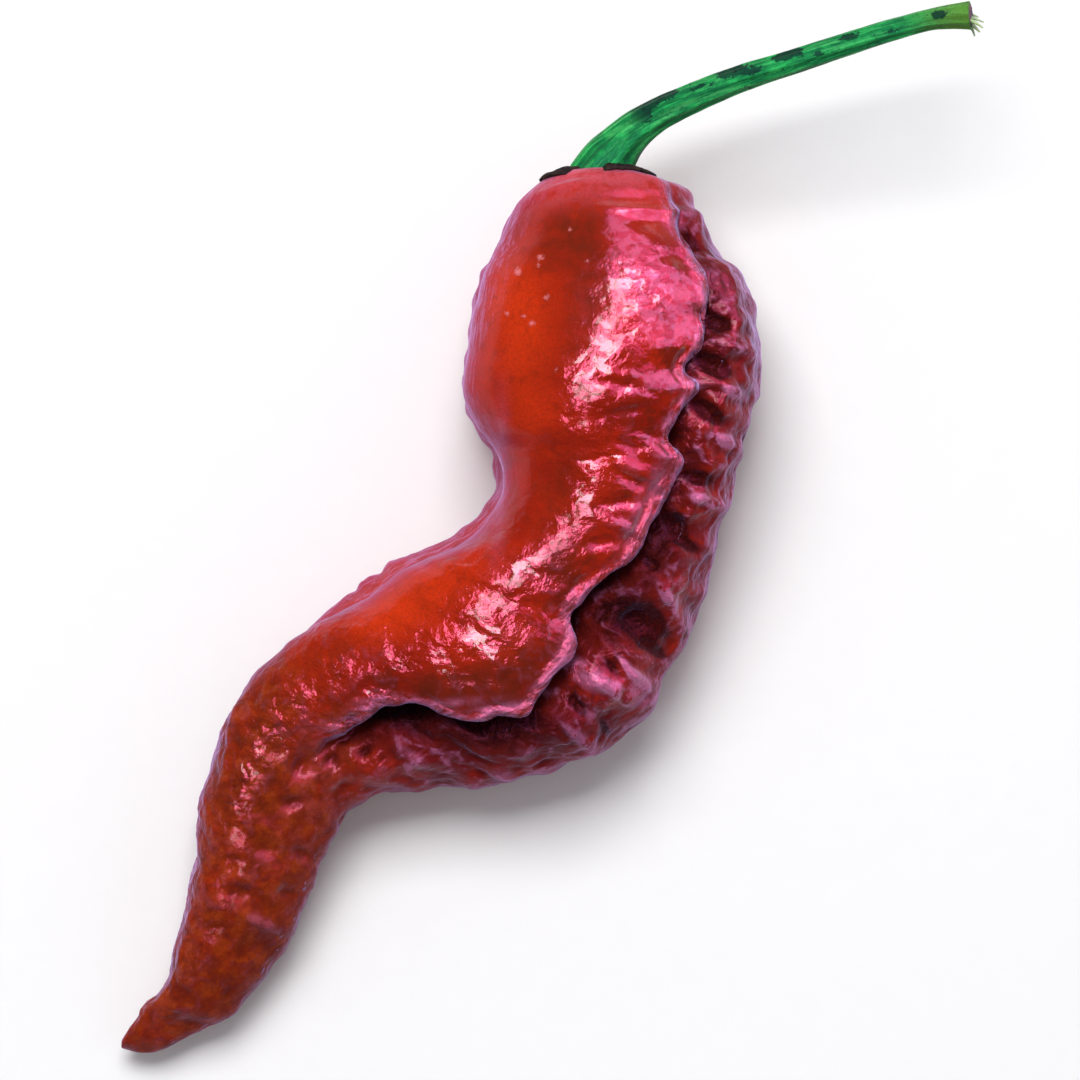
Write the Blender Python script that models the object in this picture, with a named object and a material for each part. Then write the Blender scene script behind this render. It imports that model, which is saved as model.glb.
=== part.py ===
"""A chilli pepper, as picked, lying on its side: a long wrinkled pod of three lobes that bends
twice, the thin dried calyx on its shoulder, and the green stem, cut off at its end.

Run with: blender --background --python part.py

Units: the tables and the shape functions are in millimetres, and the meshes are made in metres.
+X and +Y lie along the surface that the pod rests on, +Z is up, and the stem end is towards +Y.
The origin is on that surface, under the middle of the whole object.
"""

import math

import bmesh
import bpy
import numpy as np
from mathutils import Vector

MM = 0.001
NAME = "chilli_pepper"

# Resolution of the solids.
POD_RINGS = 92
POD_COLUMNS = 46
COLUMN_CROWDING = 0.6  # how closely the pod's columns crowd together at the lip: 0 is even, 1 is all there
CALYX_RINGS = 12
CALYX_COLUMNS = 48

# The pod between its two side outlines, from the stem end to the tip. Each row is one slice:
# outline on the inner side (x, y), outline on the outer side (x, y), crest z, underside z.
POD_SLICES = (
    (4.5, 30.1, 4.5, 30.1, 9.0, 9.0),
    (3.5, 30.2, 5.6, 30.2, 10.1, 7.9),
    (2.3, 30.3, 6.7, 30.3, 11.2, 6.8),
    (0.8, 30.3, 8.0, 30.3, 12.4, 5.7),
    (-0.3, 29.9, 9.5, 29.9, 13.5, 4.6),
    (-1.4, 29.2, 11.2, 29.4, 14.5, 3.6),
    (-3.2, 27.2, 12.6, 27.1, 16.8, 1.9),
    (-4.5, 24.4, 13.7, 24.6, 18.6, 0.9),
    (-5.7, 22.0, 16.2, 21.8, 20.1, 0.2),
    (-6.5, 18.8, 17.4, 18.6, 21.0, -0.4),
    (-7.1, 14.9, 17.9, 14.9, 21.4, -0.5),
    (-7.4, 11.5, 17.5, 11.0, 21.2, -0.2),
    (-6.3, 8.8, 16.7, 8.2, 20.5, 0.4),
    (-4.7, 6.6, 15.9, 5.3, 19.7, 0.8),
    (-4.5, 4.1, 15.1, 1.9, 19.1, 1.0),
    (-5.8, 1.9, 13.8, -2.0, 18.7, 1.0),
    (-8.1, -0.5, 12.8, -6.5, 18.4, 0.6),
    (-10.9, -1.8, 10.7, -11.3, 18.2, 0.0),
    (-13.5, -2.8, 6.7, -17.3, 17.9, -0.4),
    (-15.7, -4.5, 0.8, -20.4, 17.2, -0.5),
    (-18.3, -6.4, -6.0, -22.0, 16.2, -0.3),
    (-20.9, -8.7, -11.7, -22.4, 15.0, 0.3),
    (-23.4, -10.7, -15.3, -22.9, 14.0, 0.8),
    (-26.0, -13.4, -17.4, -24.3, 13.0, 1.0),
    (-27.8, -16.4, -18.6, -26.4, 12.3, 0.9),
    (-29.1, -19.8, -19.7, -28.6, 11.7, 0.6),
    (-30.2, -24.0, -20.5, -30.9, 11.0, 0.2),
    (-30.5, -27.5, -21.4, -33.0, 10.3, -0.2),
    (-31.2, -31.1, -22.4, -35.3, 9.5, -0.4),
    (-32.0, -34.6, -23.9, -37.5, 8.7, -0.3),
    (-32.8, -37.5, -25.5, -39.6, 7.7, 0.1),
    (-33.6, -39.6, -27.2, -41.6, 6.6, 0.5),
    (-35.0, -41.1, -29.8, -43.0, 5.4, 1.0),
    (-36.2, -42.8, -32.8, -44.5, 4.4, 1.4),
    (-36.9, -43.8, -35.0, -45.1, 3.5, 1.8),
    (-37.2, -44.6, -37.2, -44.6, 2.6, 2.6),
)

# The pod's two end points.
POD_START = (4.5, 30.0, 9.0)
POD_TIP = (-37.0, -44.4, 2.6)

# Share of each slice's height at which the pod is widest.
WAIST_SHARE = 0.47

# The lip: the rolled edge of the main lobe, seen from above, from the shoulder to the tail.
# Each row is x, y, and the depth of the furrow that runs just outside it.
LIP_PATH = (
    (10.6, 25.4, 0.3),
    (12.1, 23.3, 0.8),
    (13.1, 20.6, 1.1),
    (13.2, 18.3, 1.3),
    (12.5, 15.4, 1.4),
    (11.3, 13.4, 1.5),
    (12.0, 11.9, 1.5),
    (11.0, 10.2, 1.6),
    (9.9, 8.1, 1.7),
    (10.9, 5.8, 1.9),
    (9.9, 3.4, 1.9),
    (8.8, 0.9, 2.0),
    (7.6, -1.5, 2.2),
    (5.0, -4.0, 2.5),
    (2.9, -5.6, 2.4),
    (1.9, -7.0, 2.2),
    (2.3, -9.6, 1.8),
    (0.7, -11.9, 1.6),
    (-0.8, -13.8, 2.0),
    (-1.8, -15.5, 2.6),
    (-4.4, -15.6, 3.2),
    (-6.0, -16.3, 3.4),
    (-9.0, -15.4, 3.4),
    (-12.4, -14.7, 3.0),
    (-14.3, -14.8, 2.2),
    (-15.6, -16.0, 1.2),
    (-17.3, -17.7, 0.3),
)
FURROW_OFFSET = 0.9    # from the lip to the bottom of the furrow
LIP_ROLL = 0.45        # half the width over which the lip turns down to the outer lobe
FURROW_BANK = 1.2      # half the width over which the outer lobe rises again
UNDERCUT = 0.35        # share of the furrow's depth by which it runs in under the lip

# The three lobes in a slice, as ellipses. Sizes are shares of the slice's half width and half height,
# measured from the slice's middle, and the outer lobe's width follows the room outside the lip.
MAIN_OVERHANG = 0.22
MAIN_UP = (0.25, 0.75)
OUTER_WIDTH = (0.62, 0.09)
OUTER_BOTTOM = -1.04
BACK_LOBE = (-0.44, -0.40, 0.58, 0.60)
SHARPNESS = 14.0       # of the creases where two lobes meet

# How strongly the pod is lobed, and how high the outer lobe stands, along the pod.
# Rows are a share of the pod's length, lobing from 0 to 1, and the outer lobe's top.
LOBING = (
    (0.00, 0.0, 0.75),
    (0.06, 0.3, 0.75),
    (0.14, 0.9, 0.74),
    (0.24, 1.0, 0.72),
    (0.40, 1.0, 0.68),
    (0.52, 1.0, 0.64),
    (0.60, 1.0, 0.56),
    (0.66, 0.8, 0.58),
    (0.72, 0.25, 0.70),
    (0.80, 0.0, 0.75),
    (1.00, 0.0, 0.75),
)

# Where the main lobe draws in on the inner side of the first bend, so that the back lobe shows under it:
# start and end as shares of the pod's length, and how far it draws in.
BACK_SHOWS = (0.34, 0.60, 1.2)

# The shoulder leans back by this share of its height, over this share of the pod's length, so that
# its top rim hides most of the calyx from above.
SHOULDER_LEAN = 0.12
SHOULDER_REACH = 0.10

# How far the crest leans to the inner side: rows are a share of the pod's length and of the half width.
# On the lobed part the lean starts this far inside the lip, and grows over the same way again.
CREST_LEAN = (
    (0.00, 0.0),
    (0.30, 0.0),
    (0.42, 0.15),
    (0.58, 0.18),
    (0.70, 0.34),
    (1.00, 0.36),
)
LEAN_FROM_LIP = 3.5

# The tail starts at this share of the pod's length, and its skin changes over half this share each way.
TAIL_FROM = 0.66
TAIL_CHANGE = 0.06

# Wrinkles: their size along the pod and round it, and how deep they are on the outer lobe and underside,
# on the main lobe beside the lip, on the rest of the main lobe, and on the tail.
WRINKLE_ALONG = 2.1
WRINKLE_ROUND = 5.5
WRINKLE_OUTER = 0.55
WRINKLE_BESIDE_LIP = 0.22
WRINKLE_MAIN = 0.10
WRINKLE_TAIL = 0.25
WRINKLE_SEED = 11
WRINKLE_RANGE = 1.6    # brings the noise to about 1 at its highest
SMOOTH_INNER_SIDE = 1.5    # how far round from the lip the main lobe's skin goes, in quarter turns
SMOOTH_ENDS = (0.04, 0.03)    # shares of the pod's length that stay smooth at the stem end and at the tip
UPPER_SIDE = 0.35      # dents fade out where the skin faces up less than this

# Dents, and raised folds where the depth is negative, pressed into the upper side of the pod.
# Each row is x, y, half length, half width, turn of its long axis in degrees, depth.
OUTER_LOBE_FOLDS = (
    (13.9, 17.6, 1.5, 0.60, -30, 0.8),
    (13.7, 13.8, 1.6, 0.75, -30, 1.0),
    (13.3, 9.9, 1.5, 0.75, -35, 1.0),
    (12.4, 4.4, 1.3, 0.65, -15, 0.8),
    (10.5, 0.4, 1.3, 0.80, -60, 0.9),
    (12.0, -1.5, 1.1, 0.45, -30, 0.5),
    (8.4, -2.8, 1.1, 0.50, -40, 0.6),
    (7.6, -7.6, 2.2, 1.20, -25, 1.2),
    (4.3, -7.0, 1.0, 0.60, 60, 0.7),
    (8.8, -10.2, 1.7, 0.50, -35, 0.5),
    (5.2, -11.7, 1.4, 0.50, -50, 0.5),
    (2.3, -14.9, 1.2, 0.50, -50, 0.6),
    (4.6, -16.8, 1.2, 0.45, -60, 0.4),
    (15.5, 15.3, 1.2, 0.50, -25, -0.40),
    (15.5, 11.6, 1.3, 0.50, -25, -0.45),
    (14.5, 7.6, 1.4, 0.55, -25, -0.45),
    (13.1, 2.5, 1.4, 0.50, -20, -0.45),
    (9.9, -5.9, 1.7, 0.40, -60, -0.50),
    (6.9, -12.1, 2.0, 0.45, -45, -0.50),
    (5.0, -13.6, 2.0, 0.40, -40, -0.40),
    (2.0, -17.3, 1.6, 0.35, -40, -0.40),
)
MAIN_LOBE_FOLDS = (
    (8.6, 26.9, 4.0, 0.40, -3, -0.30),
    (8.0, 28.0, 3.2, 0.60, 0, 0.30),
    (11.8, 24.4, 1.0, 0.50, -50, 0.80),
    (0.8, 28.9, 2.7, 0.30, 17, -0.25),
    (5.7, 12.2, 2.0, 0.45, -8, 0.30),
    (6.5, 9.9, 2.2, 0.45, 12, 0.30),
    (6.9, 7.0, 1.9, 0.50, -10, 0.35),
    (4.3, 6.0, 1.2, 0.35, 10, 0.30),
    (7.3, 3.9, 1.8, 0.50, -25, 0.40),
    (6.3, 2.3, 1.9, 0.40, 5, 0.30),
    (4.6, -1.1, 2.0, 0.50, 5, 0.25),
    (6.3, 5.4, 1.6, 0.50, -25, -0.35),
    (8.8, 6.6, 1.6, 0.60, -25, -0.45),
    (11.8, 12.0, 0.8, 0.70, 0, -0.30),
    (5.9, 0.3, 1.8, 0.40, -15, -0.30),
)
TAIL_FOLDS = (
    (-16.9, -16.3, 0.8, 0.50, 45, 0.60),
    (-18.8, -19.6, 0.9, 0.60, 60, 0.50),
    (-15.8, -18.9, 0.8, 0.50, 30, 0.50),
    (-17.7, -22.1, 0.9, 0.50, 40, 0.40),
    (-21.3, -20.0, 1.0, 0.70, 70, 0.45),
    (-22.0, -23.2, 1.0, 0.60, 20, 0.45),
    (-21.3, -27.6, 1.1, 0.70, -20, 0.45),
    (-24.1, -27.2, 1.1, 0.60, 0, 0.40),
    (-22.6, -31.0, 0.8, 0.60, 0, 0.40),
    (-26.4, -30.9, 1.4, 0.80, 0, 0.35),
    (-24.3, -35.7, 1.6, 0.90, -20, 0.40),
    (-24.6, -33.6, 2.2, 0.50, -25, -0.40),
    (-27.5, -18.7, 4.2, 0.30, 78, -0.20),
)

# The calyx: how far it reaches over the shoulder, how far it is off centre and towards which share
# of a turn, its teeth, and its thickness.
CALYX_REACH = 4.6
CALYX_SKEW = 0.8
CALYX_SKEW_TURN = 0.60
CALYX_TEETH = 0.35
CALYX_LOBES = 6
CALYX_THICKNESS = 0.6
CALYX_EDGE_ROUNDING = 0.4
GAP = 0.3              # between one sub-part and the next

# The stem, from inside the calyx to its cut end: x, y, z and radius. It is cut flat at its base.
STEM_PATH = (
    (4.15, 28.85, 9.2, 3.60),
    (4.45, 30.25, 9.4, 2.95),
    (4.95, 31.45, 9.7, 2.45),
    (5.80, 32.60, 10.1, 2.00),
    (7.05, 33.88, 10.6, 1.71),
    (8.85, 35.12, 11.1, 1.47),
    (12.05, 36.65, 11.9, 1.29),
    (16.35, 38.35, 12.9, 1.16),
    (20.55, 39.65, 13.8, 1.06),
    (24.85, 41.00, 14.7, 0.99),
    (29.05, 42.25, 15.6, 0.93),
    (32.70, 43.10, 16.3, 0.96),
    (34.30, 43.25, 16.6, 1.11),
    (35.30, 43.30, 16.8, 1.21),
)
STEM_BASE = 31.85
STEM_RINGS = 46
STEM_COLUMNS = 24
STEM_RIBS = 6
STEM_RIB = 0.07

# Torn fibres that stand out of the cut end: root, tip, and how far each bows up.
FIBRES = (
    (34.7, 43.0, 17.4, 36.5, 42.1, 17.7, 0.25),
    (34.7, 42.5, 16.9, 36.2, 41.5, 16.7, 0.15),
    (34.7, 42.4, 16.2, 35.8, 41.2, 15.6, -0.10),
    (34.7, 43.4, 16.5, 36.1, 43.2, 16.3, 0.10),
)
FIBRE_ROOT = 0.30
FIBRE_MIDDLE = 0.22
FIBRE_TIP = 0.10
FIBRE_RINGS = 6
FIBRE_COLUMNS = 8
WELD = 0.001           # ends of swept pieces are joined where they lie this close

POD_COLOUR = (0.42, 0.035, 0.012)
CALYX_COLOUR = (0.035, 0.025, 0.018)
STEM_COLOUR = (0.06, 0.20, 0.06)
SHARP_ANGLE = math.radians(50)


def smooth_through(knots, values, at):
    """A smooth curve through values at unevenly spaced knots, with each knot's slope from its neighbours."""
    knots = np.asarray(knots, float)
    values = np.asarray(values, float)
    step = np.diff(knots)
    chord = np.diff(values) / step
    slope = np.empty_like(values)
    slope[1:-1] = (chord[:-1] * step[1:] + chord[1:] * step[:-1]) / (step[1:] + step[:-1])
    slope[0], slope[-1] = chord[0], chord[-1]
    i = np.clip(np.searchsorted(knots, at, side="right") - 1, 0, len(step) - 1)
    x = (np.clip(at, knots[0], knots[-1]) - knots[i]) / step[i]
    a, b = values[i], values[i + 1]
    ta, tb = slope[i] * step[i], slope[i + 1] * step[i]
    from_a = ((2 * x - 3) * x * x + 1) * a + ((x - 2) * x + 1) * x * ta
    from_b = (3 - 2 * x) * x * x * b + (x - 1) * x * x * tb
    return from_a + from_b


def smooth_step(x):
    """0 below -1, 1 above 1, and a smooth rise between."""
    x = np.clip(x * 0.5 + 0.5, 0, 1)
    return x * x * (3 - 2 * x)


def wrap(angle):
    """An angle brought between minus and plus half a turn."""
    return (angle + math.pi) % math.tau - math.pi


def lattice_noise(points, seed):
    """Smooth gradient noise, from about -0.7 to 0.7, that repeats only every 32 units."""
    size = 32
    directions = np.random.default_rng(seed).normal(size=(size, size, size, 3))
    directions /= np.linalg.norm(directions, axis=-1, keepdims=True)
    cell = np.floor(points).astype(int)
    part = points - cell
    ease = part * part * part * (part * (part * 6 - 15) + 10)
    total = 0
    for corner in np.ndindex(2, 2, 2):
        index = (cell + corner) % size
        pull = directions[index[..., 0], index[..., 1], index[..., 2]]
        share = np.where(corner, ease, 1 - ease).prod(axis=-1)
        total = total + share * (pull * (part - corner)).sum(axis=-1)
    return total


def pod_slices(at):
    """The slices at these shares of the pod's length: outline points, crest, underside, and that length."""
    rows = np.array(POD_SLICES)
    steps = np.diff(rows, axis=0)
    pace = (np.hypot(steps[:, 0], steps[:, 1]) + np.hypot(steps[:, 2], steps[:, 3])) / 2
    travelled = np.concatenate([[0], np.cumsum(pace)])
    length = travelled[-1]
    columns = [smooth_through(travelled / length, rows[:, k], at) for k in range(rows.shape[1])]
    inner = np.stack(columns[0:2], axis=-1)
    outer = np.stack(columns[2:4], axis=-1)
    return inner, outer, columns[4], columns[5], length


def lip_at(at):
    """Where the lip crosses each slice, from -1 inside to 1 at the outer outline, and the furrow's depth."""
    rows = np.array(LIP_PATH)
    reach = np.concatenate([[0], np.cumsum(np.hypot(*np.diff(rows[:, :2], axis=0).T))])
    fine = np.linspace(0, reach[-1], 600)
    path = np.stack([smooth_through(reach, rows[:, k], fine) for k in range(3)], axis=-1)
    slices = np.linspace(0.05, 0.95, 700)
    inner, outer = pod_slices(slices)[:2]
    across = outer - inner
    gap = path[None, :, :2] - inner[:, None]
    side = gap[..., 0] * across[:, None, 1] - gap[..., 1] * across[:, None, 0]
    place = (gap * across[:, None]).sum(axis=-1) / (across ** 2).sum(axis=-1)[:, None]
    crosses = (side[:, 1:] * side[:, :-1] <= 0) & (place[:, 1:] > -0.1) & (place[:, 1:] < 1.1)
    found = crosses.any(axis=1)
    where = crosses.argmax(axis=1)[found]
    crossed = slices[found]
    lip = np.interp(at, crossed, 2 * place[found, where] - 1)
    furrow = np.interp(at, crossed, path[where, 2])
    ends = smooth_step((at - crossed[0]) / 0.02 + 1) * smooth_step((crossed[-1] - at) / 0.02 + 1)
    return lip, furrow * ends


def ellipse_reach(turn, across, up, half_across, half_up):
    """How far a ray from the slice's middle, at this turn from straight up, runs to an ellipse's far side."""
    s, c = np.sin(turn), np.cos(turn)
    a = (s / half_across) ** 2 + (c / half_up) ** 2
    b = s * across / half_across ** 2 + c * up / half_up ** 2
    k = (across / half_across) ** 2 + (up / half_up) ** 2 - 1
    return np.maximum((b + np.sqrt(np.maximum(b * b - a * k, 0))) / a, 0.2)


def skin_normals(points):
    """The outward direction at each point of a closed grid of rings and columns."""
    along = np.gradient(points, axis=0)
    around = np.roll(points, -1, axis=1) - np.roll(points, 1, axis=1)
    normals = np.cross(along, around)
    return normals / np.maximum(np.linalg.norm(normals, axis=-1, keepdims=True), 1e-9)


def pod_surface(rings, columns):
    """Points on the pod, ring by ring from the stem end, without its two end points."""
    at = (np.arange(rings) + 1) / (rings + 1)
    inner, outer, crest, under, length = pod_slices(at)
    lip, furrow = lip_at(at)
    lobing, outer_top = (np.interp(at, *np.array(LOBING).T[[0, k]]) for k in (1, 2))
    half = np.hypot(*(outer - inner).T) / 2
    middle = under + WAIST_SHARE * (crest - under)

    def column(values):
        return values[:, None]

    # The lobes' ellipses. The lip lies on the main lobe, and the columns crowd together at it.
    start, end, inset = BACK_SHOWS
    shows = smooth_step((at - start) / 0.05) * smooth_step((end - at) / 0.05)
    left = -1 + inset * shows / half
    right = lip + MAIN_OVERHANG
    main_across, main_half = (right + left) / 2, (right - left) / 2
    main_up, main_half_up = MAIN_UP
    lip_up = main_up + main_half_up * np.sqrt(1 - ((lip - main_across) / main_half) ** 2)
    lip_turn = column(np.arctan2(lip, lip_up))
    share = np.arange(columns) / columns
    turn = lip_turn + math.tau * share - COLUMN_CROWDING * np.sin(math.tau * share)
    outer_half = OUTER_WIDTH[0] * (1 - lip) + OUTER_WIDTH[1]
    outer_up, outer_half_up = (outer_top + OUTER_BOTTOM) / 2, (outer_top - OUTER_BOTTOM) / 2
    main = ellipse_reach(turn, column(main_across), main_up, column(main_half), main_half_up)
    outer_shape = (1 - outer_half, outer_up, outer_half, outer_half_up)
    beside = ellipse_reach(turn, *(column(values) for values in outer_shape))
    back = ellipse_reach(turn, *BACK_LOBE)

    # Past the lip the skin drops to the outer lobe, and the furrow is cut between them.
    past = wrap(turn - lip_turn) * column(half)
    beyond = smooth_step((past - FURROW_OFFSET) / LIP_ROLL)
    upper = main * (1 - beyond) + beside * beyond
    lobed = (upper ** SHARPNESS + back ** SHARPNESS) ** (1 / SHARPNESS)
    falls = smooth_step(2 * past / FURROW_OFFSET - 1)
    rises = smooth_step(1 - (past - FURROW_OFFSET) / FURROW_BANK)
    groove = falls * rises * column(furrow)
    reach = 1 + column(lobing) * (lobed - 1) - groove / column(half)
    lift = reach * np.cos(turn)

    # The crest leans to the inner side, and the lip stays where it is.
    tail = column(smooth_step((at - TAIL_FROM) / TAIL_CHANGE))
    free = tail + (1 - tail) * smooth_step((-past - LEAN_FROM_LIP) / LEAN_FROM_LIP)
    crest_lean = column(np.interp(at, *np.array(CREST_LEAN).T)) * free * np.clip(lift, 0, None) ** 2
    sideways = (reach * np.sin(turn) - crest_lean) * column(half) - UNDERCUT * groove
    height = column(middle) + lift * np.where(lift > 0, column(crest - middle), column(middle - under))

    centre = (inner + outer) / 2
    direction = (outer - inner) / (2 * column(half))
    points = np.empty((rings, columns, 3))
    points[..., :2] = centre[:, None] + direction[:, None] * sideways[..., None]
    points[..., 2] = height
    lean = SHOULDER_LEAN * smooth_step(1 - 2 * at / SHOULDER_REACH + 1)
    points[..., 1] += column(lean) * (height - column(middle))

    # Hand-placed dents and folds on the upper side.
    normals = skin_normals(points)
    facing_up = smooth_step(normals[..., 2] / UPPER_SIDE)
    press = np.zeros((rings, columns))
    for x, y, half_length, half_width, angle, depth in OUTER_LOBE_FOLDS + MAIN_LOBE_FOLDS + TAIL_FOLDS:
        c, s = math.cos(math.radians(angle)), math.sin(math.radians(angle))
        dx, dy = points[..., 0] - x, points[..., 1] - y
        press += depth * np.exp(-((dx * c + dy * s) / half_length) ** 2 - ((dy * c - dx * s) / half_width) ** 2)

    # Wrinkles that run round the pod, deepest on the outer lobe and the underside.
    inner_side = smooth_step((past + SMOOTH_INNER_SIDE * math.pi * column(half) / 2) / 2)
    upper_main = smooth_step(-past / 0.6) * inner_side
    near_lip = smooth_step((past + 5) / 3)
    on_main = WRINKLE_MAIN + (WRINKLE_BESIDE_LIP - WRINKLE_MAIN) * near_lip
    on_body = WRINKLE_OUTER * (1 - upper_main) + on_main * upper_main
    depth = on_body * (1 - tail) + WRINKLE_TAIL * tail
    first, last = SMOOTH_ENDS
    ends = column(smooth_step(at / first - 1) * smooth_step((1 - at) / last - 1))
    round_size = column(half) / WRINKLE_ROUND
    place = np.stack([
        column(at * length / WRINKLE_ALONG) + 0 * turn,
        np.cos(turn) * round_size,
        np.sin(turn) * round_size,
    ], axis=-1)
    ripple = lattice_noise(place, WRINKLE_SEED)
    push = ripple * WRINKLE_RANGE * depth * ends - press * facing_up
    points += normals * push[..., None]
    points[..., 2] = np.maximum(points[..., 2], 0)
    return points


def calyx_surface(rings, columns):
    """The calyx over the pod's shoulder: out over its top to a ragged edge and back underneath."""
    skin = pod_surface(POD_RINGS, columns)
    out = skin_normals(skin)
    skin = np.concatenate([np.full((1, columns, 3), POD_START), skin])
    out = np.concatenate([np.full((1, columns, 3), (0.0, 1.0, 0.0)), out])
    length = pod_slices(np.zeros(1))[-1]
    spacing = length / (POD_RINGS + 1)
    share = np.arange(columns) / columns
    edge = CALYX_REACH + CALYX_SKEW * np.cos(math.tau * (share - CALYX_SKEW_TURN))
    edge = edge + CALYX_TEETH * np.cos(math.tau * CALYX_LOBES * share)
    turn = math.pi * (np.arange(rings) + 1) / (rings + 1)
    steps = np.sin(turn)[:, None] * edge / spacing
    lower = np.floor(steps).astype(int)
    part = (steps - lower)[..., None]
    column = np.arange(columns)[None]
    place = skin[lower, column] * (1 - part) + skin[lower + 1, column] * part
    outward = out[lower, column] * (1 - part) + out[lower + 1, column] * part
    outward = outward / np.linalg.norm(outward, axis=-1, keepdims=True)
    side = np.sign(np.cos(turn)) * np.abs(np.cos(turn)) ** CALYX_EDGE_ROUNDING
    return place + outward * (GAP + CALYX_THICKNESS * (1 + side[:, None, None]) / 2)


def closed_skin(name, points, start, end):
    """A closed skin over a grid of rings and columns, with an end point at each end."""
    rings, columns = points.shape[:2]
    mesh = bpy.data.meshes.new(name)
    shape = bmesh.new()
    bmesh.ops.create_uvsphere(shape, u_segments=columns, v_segments=rings + 1, radius=1)
    for vert in shape.verts:
        ring = round(math.acos(max(-1.0, min(1.0, vert.co.z))) / math.pi * (rings + 1))
        column = round(math.atan2(vert.co.y, vert.co.x) / math.tau * columns) % columns
        place = start if ring == 0 else end if ring > rings else points[ring - 1, column]
        vert.co = Vector(place) * MM
    shape.to_mesh(mesh)
    shape.free()
    return bpy.data.objects.new(name, mesh)


def swept(name, path, radii, section, closed_section_points):
    """A solid swept along a smooth path, with its own radius at each row of the path."""
    profile = bpy.data.curves.new(name + "_section", "CURVE")
    profile.dimensions = "2D"
    outline = profile.splines.new("POLY")
    outline.points.add(closed_section_points - 1)
    outline.use_cyclic_u = True
    for k, point in enumerate(outline.points):
        turn = math.tau * k / closed_section_points
        reach = section(turn) * MM
        point.co = (reach * math.cos(turn), reach * math.sin(turn), 0, 1)
    section_object = bpy.data.objects.new(name + "_section", profile)
    curve = bpy.data.curves.new(name, "CURVE")
    curve.dimensions = "3D"
    curve.bevel_mode = "OBJECT"
    curve.bevel_object = section_object
    curve.use_fill_caps = True
    spline = curve.splines.new("POLY")
    spline.points.add(len(path) - 1)
    for point, place, radius in zip(spline.points, path, radii):
        point.co = (*(Vector(place) * MM), 1)
        point.radius = radius
    curve_object = bpy.data.objects.new(name, curve)
    bpy.context.scene.collection.objects.link(section_object)
    bpy.context.scene.collection.objects.link(curve_object)
    graph = bpy.context.evaluated_depsgraph_get()
    mesh = bpy.data.meshes.new_from_object(curve_object.evaluated_get(graph))
    bpy.data.objects.remove(curve_object)
    bpy.data.objects.remove(section_object)
    shape = bmesh.new()
    shape.from_mesh(mesh)
    bmesh.ops.remove_doubles(shape, verts=shape.verts, dist=WELD * MM)
    bmesh.ops.recalc_face_normals(shape, faces=shape.faces)
    shape.to_mesh(mesh)
    shape.free()
    return bpy.data.objects.new(name, mesh)


def resampled(rows, count):
    """Evenly spaced rows on a smooth curve through the given rows."""
    rows = np.array(rows)
    travelled = np.concatenate([[0], np.cumsum(np.linalg.norm(np.diff(rows[:, :3], axis=0), axis=1))])
    at = np.linspace(0, travelled[-1], count)
    return np.stack([smooth_through(travelled, rows[:, k], at) for k in range(rows.shape[1])], axis=-1)


def ribbed(turn):
    """The stem's section: blunt ribs round it."""
    return 1 + STEM_RIB * math.cos(STEM_RIBS * turn)


def make_stem(home):
    """The stem, with the torn fibres at its cut end fused to it."""
    rows = resampled(STEM_PATH, STEM_RINGS)
    stem = swept("stem", rows[:, :3], rows[:, 3], ribbed, STEM_COLUMNS)
    home.objects.link(stem)
    shape = bmesh.new()
    shape.from_mesh(stem.data)
    cut = bmesh.ops.bisect_plane(
        shape,
        geom=shape.verts[:] + shape.edges[:] + shape.faces[:],
        plane_co=(0, STEM_BASE * MM, 0),
        plane_no=(0, 1, 0),
        clear_inner=True,
    )
    rim = [item for item in cut["geom_cut"] if isinstance(item, bmesh.types.BMEdge)]
    bmesh.ops.holes_fill(shape, edges=rim)
    bmesh.ops.recalc_face_normals(shape, faces=shape.faces)
    shape.to_mesh(stem.data)
    shape.free()
    fibres = bpy.data.collections.new("fibres")
    for number, row in enumerate(FIBRES):
        root, tip = Vector(row[:3]), Vector(row[3:6])
        middle = (root + tip) / 2 + Vector((0, 0, row[6]))
        path = resampled([(*root, FIBRE_ROOT), (*middle, FIBRE_MIDDLE), (*tip, FIBRE_TIP)], FIBRE_RINGS)
        fibre = swept(f"fibre_{number}", path[:, :3], path[:, 3], lambda turn: 1.0, FIBRE_COLUMNS)
        fibres.objects.link(fibre)
    union = stem.modifiers.new("fibres", "BOOLEAN")
    union.operation = "UNION"
    union.solver = "EXACT"
    union.operand_type = "COLLECTION"
    union.collection = fibres
    graph = bpy.context.evaluated_depsgraph_get()
    mesh = bpy.data.meshes.new_from_object(stem.evaluated_get(graph))
    stem.modifiers.remove(union)
    stem.data = mesh
    for fibre in list(fibres.objects):
        bpy.data.objects.remove(fibre)
    bpy.data.collections.remove(fibres)
    return stem


def finish(obj, colour, roughness, metallic):
    """Smooth shading with crisp edges where the skin turns sharply, and the sub-part's own material."""
    material = bpy.data.materials.new(obj.name)
    material.use_nodes = True
    shader = material.node_tree.nodes["Principled BSDF"]
    shader.inputs["Base Color"].default_value = (*colour, 1)
    shader.inputs["Roughness"].default_value = roughness
    shader.inputs["Metallic"].default_value = metallic
    obj.data.materials.clear()
    obj.data.materials.append(material)
    obj.data.shade_smooth()
    obj.data.set_sharp_from_angle(angle=SHARP_ANGLE)


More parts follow.
